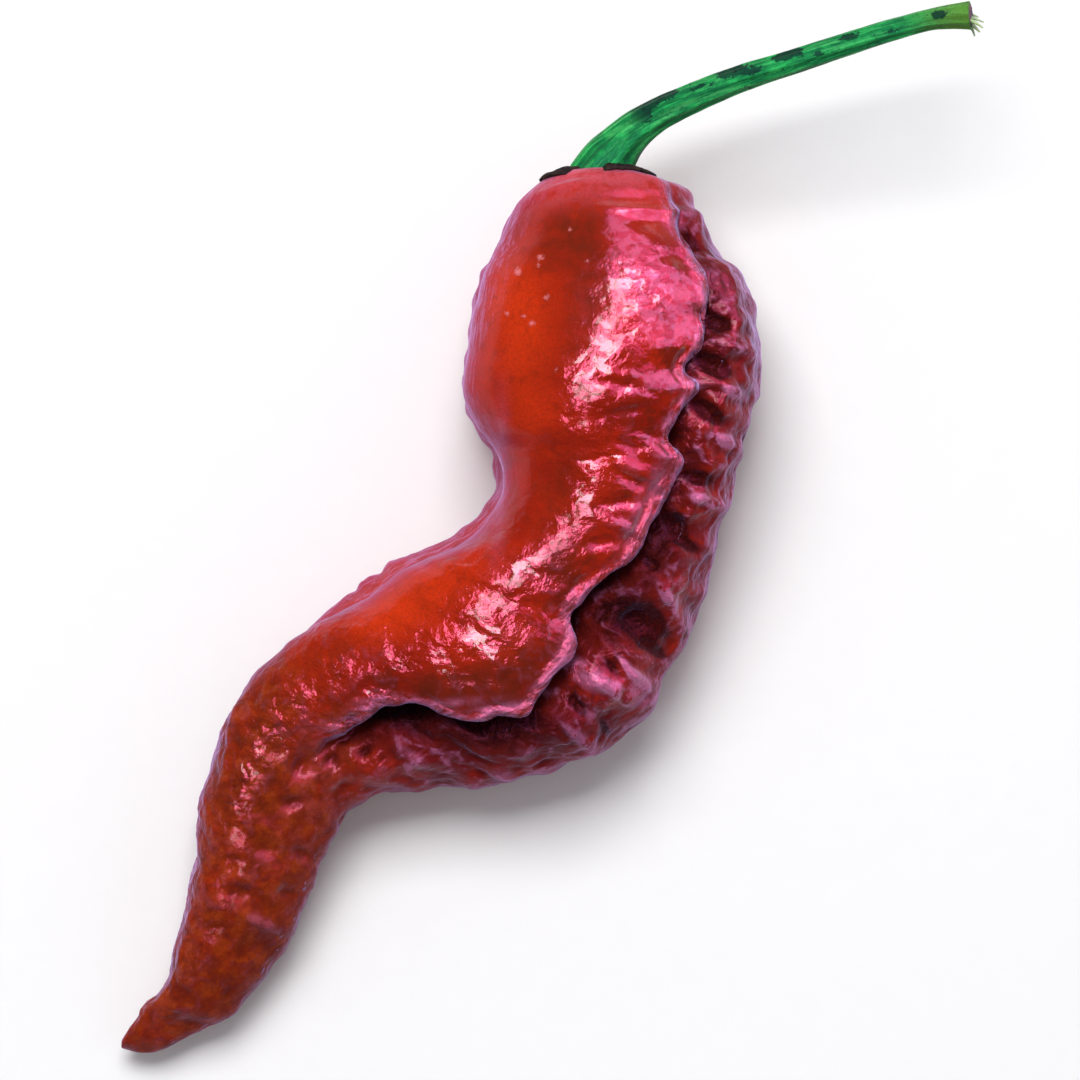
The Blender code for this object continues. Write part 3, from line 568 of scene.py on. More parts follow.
def pod_surface(rings, columns):
    """Points on the pod, ring by ring from the stem end, and the masks that its skin is coloured by."""
    at = (np.arange(rings) + 1) / (rings + 1)
    inner, outer, crest, under, length = pod_slices(at)
    lip, furrow = lip_at(at)
    lobing, outer_top = (np.interp(at, *np.array(LOBING).T[[0, k]]) for k in (1, 2))
    half = np.hypot(*(outer - inner).T) / 2
    middle = under + WAIST_SHARE * (crest - under)

    def column(values):
        return values[:, None]

    # The lobes' ellipses. The lip lies on the main lobe, and the columns crowd together at it.
    start, end, inset = BACK_SHOWS
    shows = smooth_step((at - start) / 0.05) * smooth_step((end - at) / 0.05)
    left = -1 + inset * shows / half
    right = lip + MAIN_OVERHANG
    main_across, main_half = (right + left) / 2, (right - left) / 2
    main_up, main_half_up = MAIN_UP
    lip_up = main_up + main_half_up * np.sqrt(1 - ((lip - main_across) / main_half) ** 2)
    lip_turn = column(np.arctan2(lip, lip_up))
    share = np.arange(columns) / columns
    turn = lip_turn + math.tau * share - COLUMN_CROWDING * np.sin(math.tau * share)
    outer_half = OUTER_WIDTH[0] * (1 - lip) + OUTER_WIDTH[1]
    outer_up, outer_half_up = (outer_top + OUTER_BOTTOM) / 2, (outer_top - OUTER_BOTTOM) / 2
    main = ellipse_reach(turn, column(main_across), main_up, column(main_half), main_half_up)
    outer_middle = column(1 - outer_half), column(outer_up)
    beside = ellipse_reach(turn, *outer_middle, column(outer_half), column(outer_half_up))
    back = ellipse_reach(turn, *BACK_LOBE)

    # Past the lip the skin drops to the outer lobe, and the furrow is cut between them.
    past = wrap(turn - lip_turn) * column(half)
    beyond = smooth_step((past - FURROW_OFFSET) / LIP_ROLL)
    upper = main * (1 - beyond) + beside * beyond
    lobed = (upper ** SHARPNESS + back ** SHARPNESS) ** (1 / SHARPNESS)
    bank = smooth_step(1 - (past - FURROW_OFFSET) / FURROW_BANK)
    groove = smooth_step(2 * past / FURROW_OFFSET - 1) * bank
    furrow_depth = groove * column(furrow)
    reach = 1 + column(lobing) * (lobed - 1) - furrow_depth / column(half)
    lift = reach * np.cos(turn)

    # The crest leans to the inner side, and the lip stays where it is.
    tail = column(smooth_step((at - TAIL_FROM) / TAIL_CHANGE))
    free = tail + (1 - tail) * smooth_step((-past - LEAN_FROM_LIP) / LEAN_FROM_LIP)
    crest_lean = column(np.interp(at, *np.array(CREST_LEAN).T)) * free * np.clip(lift, 0, None) ** 2
    sideways = (reach * np.sin(turn) - crest_lean) * column(half) - UNDERCUT * furrow_depth
    height = column(middle) + lift * np.where(lift > 0, column(crest - middle), column(middle - under))

    centre = (inner + outer) / 2
    direction = (outer - inner) / (2 * column(half))
    points = np.empty((rings, columns, 3))
    points[..., :2] = centre[:, None] + direction[:, None] * sideways[..., None]
    points[..., 2] = height
    lean = SHOULDER_LEAN * smooth_step(1 - 2 * at / SHOULDER_REACH + 1)
    points[..., 1] += column(lean) * (height - column(middle))

    # Listed dents and folds on the upper side.
    normals = skin_normals(points)
    facing_up = smooth_step(normals[..., 2] / 0.35)
    folds = OUTER_LOBE_FOLDS + MAIN_LOBE_FOLDS + TAIL_FOLDS
    press = strokes(points, folds)

    # Wrinkles that run round the pod, deepest on the outer lobe and the underside.
    upper_main = smooth_step(-past / 0.6) * smooth_step((past + 1.5 * math.pi * column(half) / 2) / 2)
    near_lip = smooth_step((past + 5) / 3)
    on_main = WRINKLE_MAIN + (WRINKLE_BESIDE_LIP - WRINKLE_MAIN) * near_lip
    on_body = WRINKLE_OUTER + upper_main * (on_main - WRINKLE_OUTER)
    depth = on_body * (1 - tail) + WRINKLE_TAIL * tail
    ends = column(smooth_step(at / 0.04 - 1) * smooth_step((1 - at) / 0.03 - 1))
    round_size = column(half) / WRINKLE_ROUND
    place = np.stack([
        column(at * length / WRINKLE_ALONG) + 0 * turn,
        np.cos(turn) * round_size,
        np.sin(turn) * round_size,
    ], axis=-1)
    ripple = lattice_noise(place, WRINKLE_SEED)
    in_body = column(smooth_step((at - 0.10) / 0.03) * smooth_step((0.64 - at) / 0.03))
    wander = past + 1.5 + 2.4 * lattice_noise(points * 0.22 + 3, LIP_FOLD_SEEDS[0])
    patchy = in_body * np.clip(0.3 + 2.0 * lattice_noise(points * 0.3 + 8, LIP_FOLD_SEEDS[1]), 0, 1)
    crest_line = LIP_FOLD_HEIGHT * np.exp(-((wander / 0.45) ** 2))
    foot_line = LIP_FOLD_CREASE * np.exp(-(((wander + 1.0) / 0.6) ** 2))
    lip_fold = (crest_line - foot_line) * patchy
    push = ripple * WRINKLE_RANGE * depth * ends - press * facing_up - lip_fold
    points += normals * push[..., None]
    points[..., 2] = np.maximum(points[..., 2], 0)

    on_tail = tail + 0 * turn
    below = column(smooth_step((at - 0.14) / 0.04))
    fade = column(1 - smooth_step((at - TAIL_FROM) / 0.03)) * column(smooth_step((at - 0.07) / 0.03))
    facing = normals[..., 2]
    flank = smooth_step((0.42 - facing) / 0.25) * smooth_step(-past / half.mean() - 1.2)
    outer_side = 1 - smooth_step((past - 0.6 * math.pi * column(half)) / 3)
    inner_side = smooth_step((-past - 0.55 * math.pi * column(half)) / 2.5)
    crinkled_from = column(smooth_step((at - 0.125) / 0.03))
    masks = {
        "furrow": np.clip(groove * column(furrow / 2.5), 0, 1),
        "crevice": smooth_step(past / 0.5) * np.exp(-((np.clip(past, 0, None) / 3.2) ** 2)) * fade,
        "lip_edge": np.exp(-((past + 0.4) / 0.75) ** 2) * fade,
        "blush": painted(points, ROSE_PATCHES) * (1 - beyond * (1 - tail)),
        "level": smooth_step((facing - 0.74) / 0.12),
        "gloss": painted(points, GLOSS_PATCHES),
        "flank": flank,
        "steep": smooth_step((0.55 - facing) / 0.3),
        "lilac": painted(points, LILAC_SHEEN_PATCHES) * (1 - beyond),
        "outer": beyond * outer_side * (1 - on_tail) * column(lobing),
        "beside_lip": near_lip * upper_main * (1 - on_tail) * below,
        "crinkled": smooth_step((past + 12) / 2.5) * upper_main * crinkled_from,
        "tail": on_tail,
        "relief": np.clip(push / 0.8, -1, 1),
        "inner_side": inner_side * smooth_step(4 - np.abs(past) / column(half)),
        "shoulder": column(1 - smooth_step((at - 0.07) / 0.04)) + 0 * turn,
        "fold": np.clip(-strokes(points, folds), -1, 1) * facing_up,
        "deep": painted(points, DEEP_SHADE) * beyond,
        "warm": painted(points, WARM_PATCHES),
        "brown_and_shade": painted(points, BROWN_AND_SHADE_PATCHES),
        "ends": ends + 0 * turn,
    }
    size = np.maximum(column(half), 1)
    skin = np.stack([column(at * length) + 0 * turn, np.cos(turn) * size, np.sin(turn) * size], axis=-1)
    return points, masks, skin


def new_object(name, data):
    """An object with this mesh, lamp or camera, in the scene."""
    obj = bpy.data.objects.new(name, data)
    bpy.context.scene.collection.objects.link(obj)
    return obj


def mesh_of(name, shape):
    """The mesh of a finished shape."""
    mesh = bpy.data.meshes.new(name)
    shape.to_mesh(mesh)
    shape.free()
    return mesh


def closed_skin(name, points, start, end):
    """A closed skin over a grid of rings and columns and two end points, and each vertex's place in it."""
    rings, columns = points.shape[:2]
    shape = bmesh.new()
    bmesh.ops.create_uvsphere(shape, u_segments=columns, v_segments=rings + 1, radius=1)
    mesh = mesh_of(name, shape)
    sphere = np.empty(len(mesh.vertices) * 3)
    mesh.vertices.foreach_get("co", sphere)
    sphere = sphere.reshape(-1, 3)
    ring = np.round(np.arccos(np.clip(sphere[:, 2], -1, 1)) / math.pi * (rings + 1)).astype(int)
    column = np.round(np.arctan2(sphere[:, 1], sphere[:, 0]) / math.tau * columns).astype(int) % columns
    inside = np.clip(ring - 1, 0, rings - 1)
    places = points[inside, column]
    places[ring == 0] = start
    places[ring > rings] = end
    mesh.vertices.foreach_set("co", (places * MM).ravel())
    mesh.update()
    return new_object(name, mesh), inside, column


def write_mask(obj, name, values):
    """A number or a vector at each vertex, for the materials and the trees."""
    values = np.ascontiguousarray(values, np.float32)
    kind, key = ("FLOAT", "value") if values.ndim == 1 else ("FLOAT_VECTOR", "vector")
    layer = obj.data.attributes.new(name, kind, "POINT")
    layer.data.foreach_set(key, values.ravel())


class Value:
    """A socket that can be used in arithmetic. Each operation adds a node."""

    def __init__(self, graph, socket):
        self.graph = graph
        self.socket = socket

    def out(self, name):
        return Value(self.graph, self.socket.node.outputs[name])

    def maths(self, operation, *values):
        return self.graph.node("ShaderNodeMath", {"operation": operation}, dict(enumerate(values)))

    def __add__(self, other):
        return self.maths("ADD", self, other)

    __radd__ = __add__

    def __sub__(self, other):
        return self.maths("SUBTRACT", self, other)

    def __rsub__(self, other):
        return self.maths("SUBTRACT", other, self)

    def __mul__(self, other):
        return self.maths("MULTIPLY", self, other)

    __rmul__ = __mul__

    def __truediv__(self, other):
        return self.maths("DIVIDE", self, other)

    def __rtruediv__(self, other):
        return self.maths("DIVIDE", other, self)

    def absolute(self):
        return self.maths("ABSOLUTE", self)

    def cosine(self):
        return self.maths("COSINE", self)

    def sine(self):
        return self.maths("SINE", self)

    def between(self, low, high):
        """0 below low, 1 above high, and a smooth rise between."""
        sockets = {"Value": self, "From Min": low, "From Max": high}
        return self.graph.node("ShaderNodeMapRange", {"interpolation_type": "SMOOTHSTEP"}, sockets)


class Graph:
    """A node tree that is built by expressions."""

    def __init__(self, tree):
        self.tree = tree

    def feed(self, node, sockets):
        """Set or link a node's sockets."""
        for key, value in sockets.items():
            if isinstance(value, Value):
                self.tree.links.new(value.socket, node.inputs[key])
            else:
                node.inputs[key].default_value = value

    def node(self, kind, settings=None, sockets=None):
        """Add a node: its settings come first, then its sockets. Gives its first socket in use."""
        node = self.tree.nodes.new(kind)
        for name, value in (settings or {}).items():
            setattr(node, name, value)
        self.feed(node, sockets or {})
        return Value(self, next(socket for socket in node.outputs if socket.enabled))

    def noise(self, vector, scale, detail=2.0, roughness=0.5, distortion=0.0):
        sockets = {"Vector": vector, "Scale": scale, "Detail": detail}
        sockets |= {"Roughness": roughness, "Distortion": distortion}
        return self.node("ShaderNodeTexNoise", {"noise_dimensions": "3D"}, sockets)

    def stretch(self, vector, factors):
        return self.node("ShaderNodeVectorMath", {"operation": "MULTIPLY"}, {0: vector, 1: factors})

    def scaled(self, vector, factor):
        return self.node("ShaderNodeVectorMath", {"operation": "SCALE"}, {"Vector": vector, "Scale": factor})

    def in_millimetres(self, place):
        return self.stretch(place, (1 / MM, 1 / MM, 1 / MM))

    def upward(self, vector):
        return self.node("ShaderNodeSeparateXYZ", None, {0: vector}).out("Z")


class Look(Graph):
    """A material built by expressions on its shader."""

    def __init__(self, name):
        self.material = bpy.data.materials.new(name)
        self.material.use_nodes = True
        super().__init__(self.material.node_tree)
        self.shader = self.tree.nodes["Principled BSDF"]

    def mask(self, name, output="Fac"):
        return self.node("ShaderNodeAttribute", {"attribute_name": name}).out(output)

    def masks(self, *names):
        return [self.mask(name) for name in names]

    def place(self):
        return self.node("ShaderNodeTexCoord").out("Object")

    def blend(self, factor, first, second):
        """First colour where the factor is 0, second where it is 1."""
        first, second = (c if isinstance(c, Value) else (*c, 1) for c in (first, second))
        settings = {"data_type": "RGBA", "clamp_factor": True}
        return self.node("ShaderNodeMix", settings, {0: factor, 6: first, 7: second})

    def layers(self, colour, *pairs):
        """A colour with others laid over it in turn, each by its factor."""
        for factor, over in pairs:
            colour = self.blend(factor, colour, over)
        return colour

    def bump(self, height, distance, strength=1.0):
        sockets = {"Height": height, "Distance": distance, "Strength": strength}
        return self.node("ShaderNodeBump", None, sockets)

    def set(self, sockets):
        self.feed(self.shader, sockets)

    def mix_shaders(self, factor, other):
        """The look's own shader where the factor is 0, the other where it is 1."""
        own = Value(self, self.shader.outputs["BSDF"])
        mixed = self.node("ShaderNodeMixShader", None, {0: factor, 1: own, 2: other})
        self.feed(self.tree.nodes["Material Output"], {"Surface": mixed})


class Shaper(Graph):
    """A Geometry Nodes tree with named inputs, run once on an object and then replaced by its mesh."""

    def __init__(self, name, inputs):
        super().__init__(bpy.data.node_groups.new(name, "GeometryNodeTree"))
        self.name = name
        self.tree.interface.new_socket("Geometry", in_out="INPUT", socket_type="NodeSocketGeometry")
        self.tree.interface.new_socket("Geometry", in_out="OUTPUT", socket_type="NodeSocketGeometry")
        self.values = inputs
        for label, value in inputs.items():
            kind = {int: "NodeSocketInt", float: "NodeSocketFloat"}.get(type(value), "NodeSocketMaterial")
            self.tree.interface.new_socket(label, in_out="INPUT", socket_type=kind)
        self.start = self.tree.nodes.new("NodeGroupInput")
        self.geometry = Value(self, self.start.outputs["Geometry"])

    def given(self, label):
        return Value(self, self.start.outputs[label])

    def named(self, name, kind="FLOAT"):
        return self.node("GeometryNodeInputNamedAttribute", {"data_type": kind}, {"Name": name})

    def store(self, geometry, name, value):
        settings = {"data_type": "FLOAT", "domain": "POINT"}
        sockets = {"Geometry": geometry, "Name": name, "Value": value}
        return self.node("GeometryNodeStoreNamedAttribute", settings, sockets)

    def circle(self, resolution):
        sockets = {"Resolution": resolution, "Radius": 1.0}
        return self.node("GeometryNodeCurvePrimitiveCircle", None, sockets)

    def tube(self, line, section, size):
        """A section swept along a line, with closed ends."""
        sockets = {"Curve": line, "Profile Curve": section, "Scale": size, "Fill Caps": True}
        return self.node("GeometryNodeCurveToMesh", None, sockets)

    def finish(self, geometry):
        """Real geometry with its material, as the tree's result."""
        steps = {
            "GeometryNodeRealizeInstances": {},
            "GeometryNodeSetShadeSmooth": {"Shade Smooth": True},
            "GeometryNodeSetMaterial": {"Material": self.given("Material")},
        }
        for kind, sockets in steps.items():
            geometry = self.node(kind, None, {"Geometry": geometry} | sockets)
        self.feed(self.tree.nodes.new("NodeGroupOutput"), {"Geometry": geometry})

    def apply(self, obj):
        """Run the tree on an object, and keep the mesh that it makes."""
        modifier = obj.modifiers.new(self.name, "NODES")
        modifier.node_group = self.tree
        for item in self.tree.interface.items_tree:
            if item.in_out == "INPUT" and item.name in self.values:
                modifier[item.identifier] = self.values[item.name]
        graph = bpy.context.evaluated_depsgraph_get()
        mesh = bpy.data.meshes.new_from_object(obj.evaluated_get(graph))
        obj.modifiers.remove(modifier)
        obj.data = mesh
        return obj


def pod_look():
    """The skin: waxy and red, with darker hollows and furrow from painted shade, and a painted lilac sheen
    on the ridges and the lip.
    """
    look = Look("pod_skin")
    skin = look.mask("skin", "Vector")
    place = look.in_millimetres(look.place())
    outer, tail, flank, inner_side = look.masks("outer", "tail", "flank", "inner_side")
    relief, ridge, fold, crinkled = look.masks("relief", "ridge", "fold", "crinkled")
    beside, lip_edge, shoulder = look.masks("beside_lip", "lip_edge", "shoulder")
    brown_and_shade, gloss, level, deep = look.masks("brown_and_shade", "gloss", "level", "deep")

    cloud = look.noise(place, 0.16, 3.0, 0.55)
    mottle = look.noise(place, 0.7, 4.0, 0.65)
    stain = look.noise(place, 0.42, 3.0, 0.6, 0.6)
    grain = look.noise(place, 4.5, 2.0, 0.7)
    crinkle = look.noise(place, 0.62, 3.0, 0.5, 0.8)
    crease = 1 - (crinkle * 2 - 1).absolute() * 2.2
    speckle = look.noise(place, 0.8, 4.0, 0.65, 0.3)
    colour = look.layers(
        SKIN_DEEP,
        (cloud.between(0.35, 0.68), SKIN_RED),
        (look.mask("warm") * 0.85, SKIN_ORANGE),
        # The darker patches: browner skin, and painted shade.
        (brown_and_shade * (mottle.between(0.3, 0.6) * 0.5 + 0.5), SKIN_BROWN),
        (mottle.between(0.5, 0.72) * 0.35, SKIN_BROWN),
        (beside * stain.between(0.46, 0.58) * 0.65, SKIN_BROWN),
        (outer * (stain.between(0.42, 0.56) * 0.65 + 0.25), SKIN_CRIMSON),
        # The steep inner flank: pinker, a painted rim sheen.
        (flank * 0.7, FLANK_PAINTED_SHEEN),
        (tail * (stain.between(0.38, 0.62) * 0.35 + 0.6), TAIL_BROWN),
        (tail * speckle.between(0.48, 0.64) * 0.55, TAIL_ORANGE),
        (tail * (0.5 - speckle).between(0.02, 0.12) * 0.6, SKIN_BROWN),
        (look.mask("blush") * mottle.between(0.42, 0.58) * 0.8, TAIL_ROSE),
    )

    # Painted shade in the hollows, between the folds and in the crevice under the lip: dark and brownish.
    pressed, sunken = (0 - fold).between(0.10, 0.50), (0 - relief).between(0.1, 0.6)
    between_folds = (0 - ridge).between(0.0, 0.5) + sunken
    hollow = pressed * (outer + tail * 0.12 + beside * 0.35)
    hollow = hollow + between_folds * (outer * 0.45 + tail * 0.25)
    colour = look.blend(hollow, colour, HOLLOW_PAINTED_SHADE)
    crevice = look.mask("crevice") * (mottle.between(0.3, 0.55) * 0.5 + 0.3)
    colour = look.blend(crevice, colour, HOLLOW_PAINTED_SHADE)

    # Painted sheen: pale lilac on the ridges of the outer lobe, the lip, the shoulder and the flank.
    raised = fold.between(0.04, 0.3) + ridge.between(0.18, 0.5) * 0.8 + relief.between(0.1, 0.5) * 0.55
    painted_sheen = raised * mottle.between(0.38, 0.56) * (1 - pressed)
    painted_sheen = painted_sheen * (outer * 1.25 + tail * 0.12 + beside * 0.2)
    long_streak = look.noise(look.stretch(skin, (0.12, 1.5, 1.5)), 1.3, 3.0, 0.6)
    painted_sheen = painted_sheen + (inner_side + flank) * long_streak.between(0.49, 0.62) * 0.55
    painted_sheen = painted_sheen + lip_edge * (long_streak.between(0.45, 0.6) * 0.7 + mottle.between(0.4, 0.6) * 0.3)
    painted_sheen = painted_sheen + look.mask("lilac") * (mottle.between(0.3, 0.55) * 0.5 + 0.2)
    colour = look.blend(painted_sheen, colour, LILAC_PAINTED_SHEEN)
    # Painted highlights: small pink glints laid into the colour on the smooth upper part.
    on_top = look.upward(place).between(*GLINTS_ABOVE)
    flat = look.stretch(place, (1, 1, 0))
    for x, y, size in PAINTED_PINK_GLINTS:
        gap = look.node("ShaderNodeVectorMath", {"operation": "DISTANCE"}, {0: flat, 1: (x, y, 0)})
        glint = (size * 0.8 - gap + (grain - 0.5) * 0.9).between(0.0, 0.25) * on_top
        colour = look.blend(glint * 0.65, colour, GLINT_PAINTED_PINK)
    colour = look.blend(shoulder * (mottle.between(0.34, 0.6) * 0.7 + 0.2), colour, SHOULDER_PINK)
    # Painted shade: near black in the furrow, and under the lip where the deep shade mask lies.
    colour = look.blend(look.mask("furrow") + deep * 0.97, colour, FURROW_PAINTED_SHADE)
    colour = look.blend(grain.between(0.42, 0.62) * 0.28, colour, SKIN_BROWN)

    # Taut skin has soft dimples, folded skin has creases, and all of it has pores.
    dimple = look.noise(place, 0.55, 4.0, 0.55, 0.3)
    pores = look.noise(place, 3.6, 2.0, 0.5)
    notches = look.noise(look.stretch(place, (0.8, 1.3, 1.0)), 1.0, 1.0, 0.5)
    calm = 1 - 0.6 * brown_and_shade
    height = dimple * (0.3 + 2.3 * crinkled * calm + 0.5 * tail + 2.2 * gloss + 1.5 * shoulder)
    height = height + crease * (0.04 + 0.75 * outer * (0.2 + 0.8 * level) + 0.12 * tail)
    height = height + (notches * 3.0 + long_streak * 4.5) * lip_edge + long_streak * 1.6 * inner_side
    notched = 0.8 * crinkled * calm + 0.25 * tail + 1.6 * gloss + 1.3 * outer + 1.2 * shoulder
    height = height + notches * notched
    height = height + pores * (0.14 + 0.14 * crinkled)
    normal = look.bump(height, FINE_BUMP)

    # The wax shines in small chips, so that a highlight breaks up.
    chips = look.noise(look.stretch(place, (1.0, 1.3, 1.0)), 1.1, 4.0, 0.62, 0.4).between(0.44, 0.53)
    chips = chips * (0.3 + 0.7 * look.noise(place, 0.24, 2.0, 0.5, 0.2).between(0.40, 0.50))
    roughness = 0.12 + 0.08 * outer + 0.10 * tail + 0.08 * grain + 0.14 * flank
    coat = level * (0.05 + 0.38 * chips) * (1 - 0.5 * (tail + outer))
    coat = coat * (1 - pressed) * (1 - 0.8 * brown_and_shade)
    sheen = {"Sheen Weight": 0.70, "Sheen Roughness": 0.30, "Sheen Tint": (*SHEEN_LILAC, 1)}
    look.set({
        "Base Color": colour,
        "Roughness": roughness,
        "Normal": normal,
        "Specular IOR Level": 0.42,
        "Specular Tint": (*SHINE_PINK, 1),
        "Coat Weight": coat,
        "Coat Roughness": 0.06,
    } | sheen)
    dull = look.node("ShaderNodeBsdfPrincipled", None, {
        "Base Color": colour,
        "Roughness": roughness + 0.12,
        "Normal": normal,
        "Specular IOR Level": 0.03,
        "Specular Tint": (*SHINE_DULL, 1),
    } | sheen)
    folded = outer * 0.25 + look.mask("crevice") * 0.6 + brown_and_shade * 0.55 + deep
    folded = folded + shoulder * 0.8 + pressed * outer * 0.4 + look.mask("steep") * 0.9
    folded = folded + tail * 0.6 - gloss * 0.8
    look.mix_shaders(folded.between(0.0, 1.0), dull)
    return look.material


def stem_look():
    """Green and ribbed, with streaks along it, dark blotches and a yellower cut end."""
    look = Look("stem_skin")
    along, around, rib = look.masks("along", "around", "rib")
    place = look.in_millimetres(look.place())
    grain = look.noise(place, 3.5, 3.0, 0.7)
    cloud = look.noise(place, 0.55, 3.0, 0.6)
    side = look.node("ShaderNodeCombineXYZ", None, {
        0: along * 0.28,
        1: around.cosine() * 1.6,
        2: around.sine() * 1.6,
    })
    thread = look.noise(look.stretch(side, (0.4, 1, 1)), 2.2, 4.0, 0.7, 0.4)
    ragged = look.noise(place, 1.3, 4.0, 0.7, 0.4)
    spread = look.mask("blotch") + ragged * 1.6 - 0.8
    blotch = spread.between(0.30, 0.42) + ragged.between(0.60, 0.66) * 0.7
    colour = look.layers(
        STEM_DEEP,
        (cloud.between(0.38, 0.62), STEM_GREEN),
        (thread.between(0.50, 0.64) * 0.75, STEM_PALE),
        ((0.52 - thread).between(0.02, 0.12) * 0.7, STEM_DARK),
        ((1 - rib) * 0.35, STEM_DARK),
        (along.between(29.0, 35.0) * 0.7, STEM_YELLOW),
        (blotch * along.between(4.0, 7.0) * 0.92, STEM_BLOTCH),
        (grain.between(0.45, 0.7) * 0.4, STEM_DARK),
    )
    look.set({
        "Base Color": colour,
        "Roughness": 0.42 + 0.2 * grain,
        "Normal": look.bump(grain * 0.5 + thread, FINE_BUMP, 0.9),
        "Specular IOR Level": 0.16,
        "Specular Tint": (*STEM_SHINE, 1),
    })
    return look.material


def calyx_look():
    """Dried almost black, with brown frayed edges."""
    look = Look("calyx_dry")
    place = look.place()
    crumbs = look.noise(place, 900.0, 4.0, 0.65)
    wide = look.noise(place, 300.0, 3.0, 0.6)
    colour = look.blend(crumbs.between(0.4, 0.7), CALYX_BLACK, CALYX_BROWN)
    colour = look.blend(wide.between(0.58, 0.70) * 0.5, colour, CALYX_FRAYED)
    look.set({
        "Base Color": colour,
        "Roughness": 0.7 + 0.25 * crumbs,
        "Normal": look.bump(crumbs, COARSE_BUMP),
        "Specular IOR Level": 0.08,
    })
    return look.material


def torn_look(name, noise, change, colours, roughness, relief):
    """Torn tissue, from one noise."""
    look = Look(name)
    fray = look.noise(look.place(), *noise)
    look.set({
        "Base Color": look.blend(fray.between(*change), *colours),
        "Roughness": roughness + 0.2 * fray,
        "Normal": look.bump(fray, *relief),
    })
    return look.material


def floor_look():
    """Plain matt white board."""
    look = Look("floor_board")
    tooth = look.noise(look.place(), 400.0, 2.0, 0.5)
    colour = look.blend(tooth, (0.80, 0.80, 0.80), (0.82, 0.82, 0.82))
    look.set({"Base Color": colour, "Roughness": 0.9 + 0.05 * tooth, "Specular IOR Level": 0.1})
    return look.material


def make_pod():
    """The pod, with its fine crumples raised by a tree on the lofted skin."""
    points, masks, skin = pod_surface(POD_RINGS, POD_COLUMNS)
    pod, ring, column = closed_skin("pod_fruit", points, POD_START, POD_TIP)
    for name, values in masks.items():
        write_mask(pod, name, values[ring, column])
    write_mask(pod, "skin", skin[ring, column])

    crumple = Shaper("pod_crumples", {
        "Crumple Height": 0.34,
        "Crumple Size": 3.2,
        "Crinkle Height": 0.06,
        "Crinkle Size": 1.7,
        "Material": pod_look(),
    })
    place = crumple.in_millimetres(crumple.node("GeometryNodeInputPosition"))
    outer, tail, crinkled = (crumple.named(name) for name in ("outer", "tail", "crinkled"))
    sizes = crumple.given("Crumple Size"), crumple.given("Crinkle Size")
    waves = [crumple.noise(place, 1 / size, 2.0, 0.5, 0.5) for size in sizes]
    ridge, small = (0.5 - (wave * 2 - 1).absolute() * 3 for wave in waves)
    ends = crumple.named("ends")
    normal = crumple.node("GeometryNodeInputNormal")
    facing_up = crumple.upward(normal).between(-0.1, 0.5)
    outer = outer * (0.25 + 0.75 * facing_up)
    coarse_share = 0.04 + 0.7 * outer + 0.12 * crinkled + 0.3 * tail
    fine_share = 0.06 + 0.8 * outer + 0.8 * crinkled + 0.4 * tail
    coarse_lift = (ridge - 0.3) * crumple.given("Crumple Height") * coarse_share
    fine_lift = small * crumple.given("Crinkle Height") * fine_share
    offset = crumple.scaled(normal, (coarse_lift + fine_lift) * ends * MM)
    marked = crumple.store(crumple.geometry, "ridge", ridge * 0.7 + small * 0.3)
    raised = crumple.node("GeometryNodeSetPosition", None, {"Geometry": marked, "Offset": offset})
    crumple.finish(raised)
    crumple.apply(pod)

    places = np.empty(len(pod.data.vertices) * 3)
    pod.data.vertices.foreach_get("co", places)
    low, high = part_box("pod")
    places = np.clip(places.reshape(-1, 3), low, high)
    pod.data.vertices.foreach_set("co", places.ravel())
    pod.data.update()
    return pod


def resampled(rows, count):
    """Evenly spaced rows on a smooth curve through the given rows."""
    rows = np.array(rows)
    travelled = travel(np.linalg.norm(np.diff(rows[:, :3], axis=0), axis=1))
    return curve_through(travelled, rows, np.linspace(STEM_START * travelled[-1], travelled[-1], count))


def path_object(name, places, radii):
    """A chain of edges through the places, with a radius at each."""
    mesh = bpy.data.meshes.new(name)
    edges = [(k, k + 1) for k in range(len(places) - 1)]
    mesh.from_pydata([tuple(place) for place in places], edges, [])
    obj = new_object(name, mesh)
    write_mask(obj, "thickness", radii)
    return obj


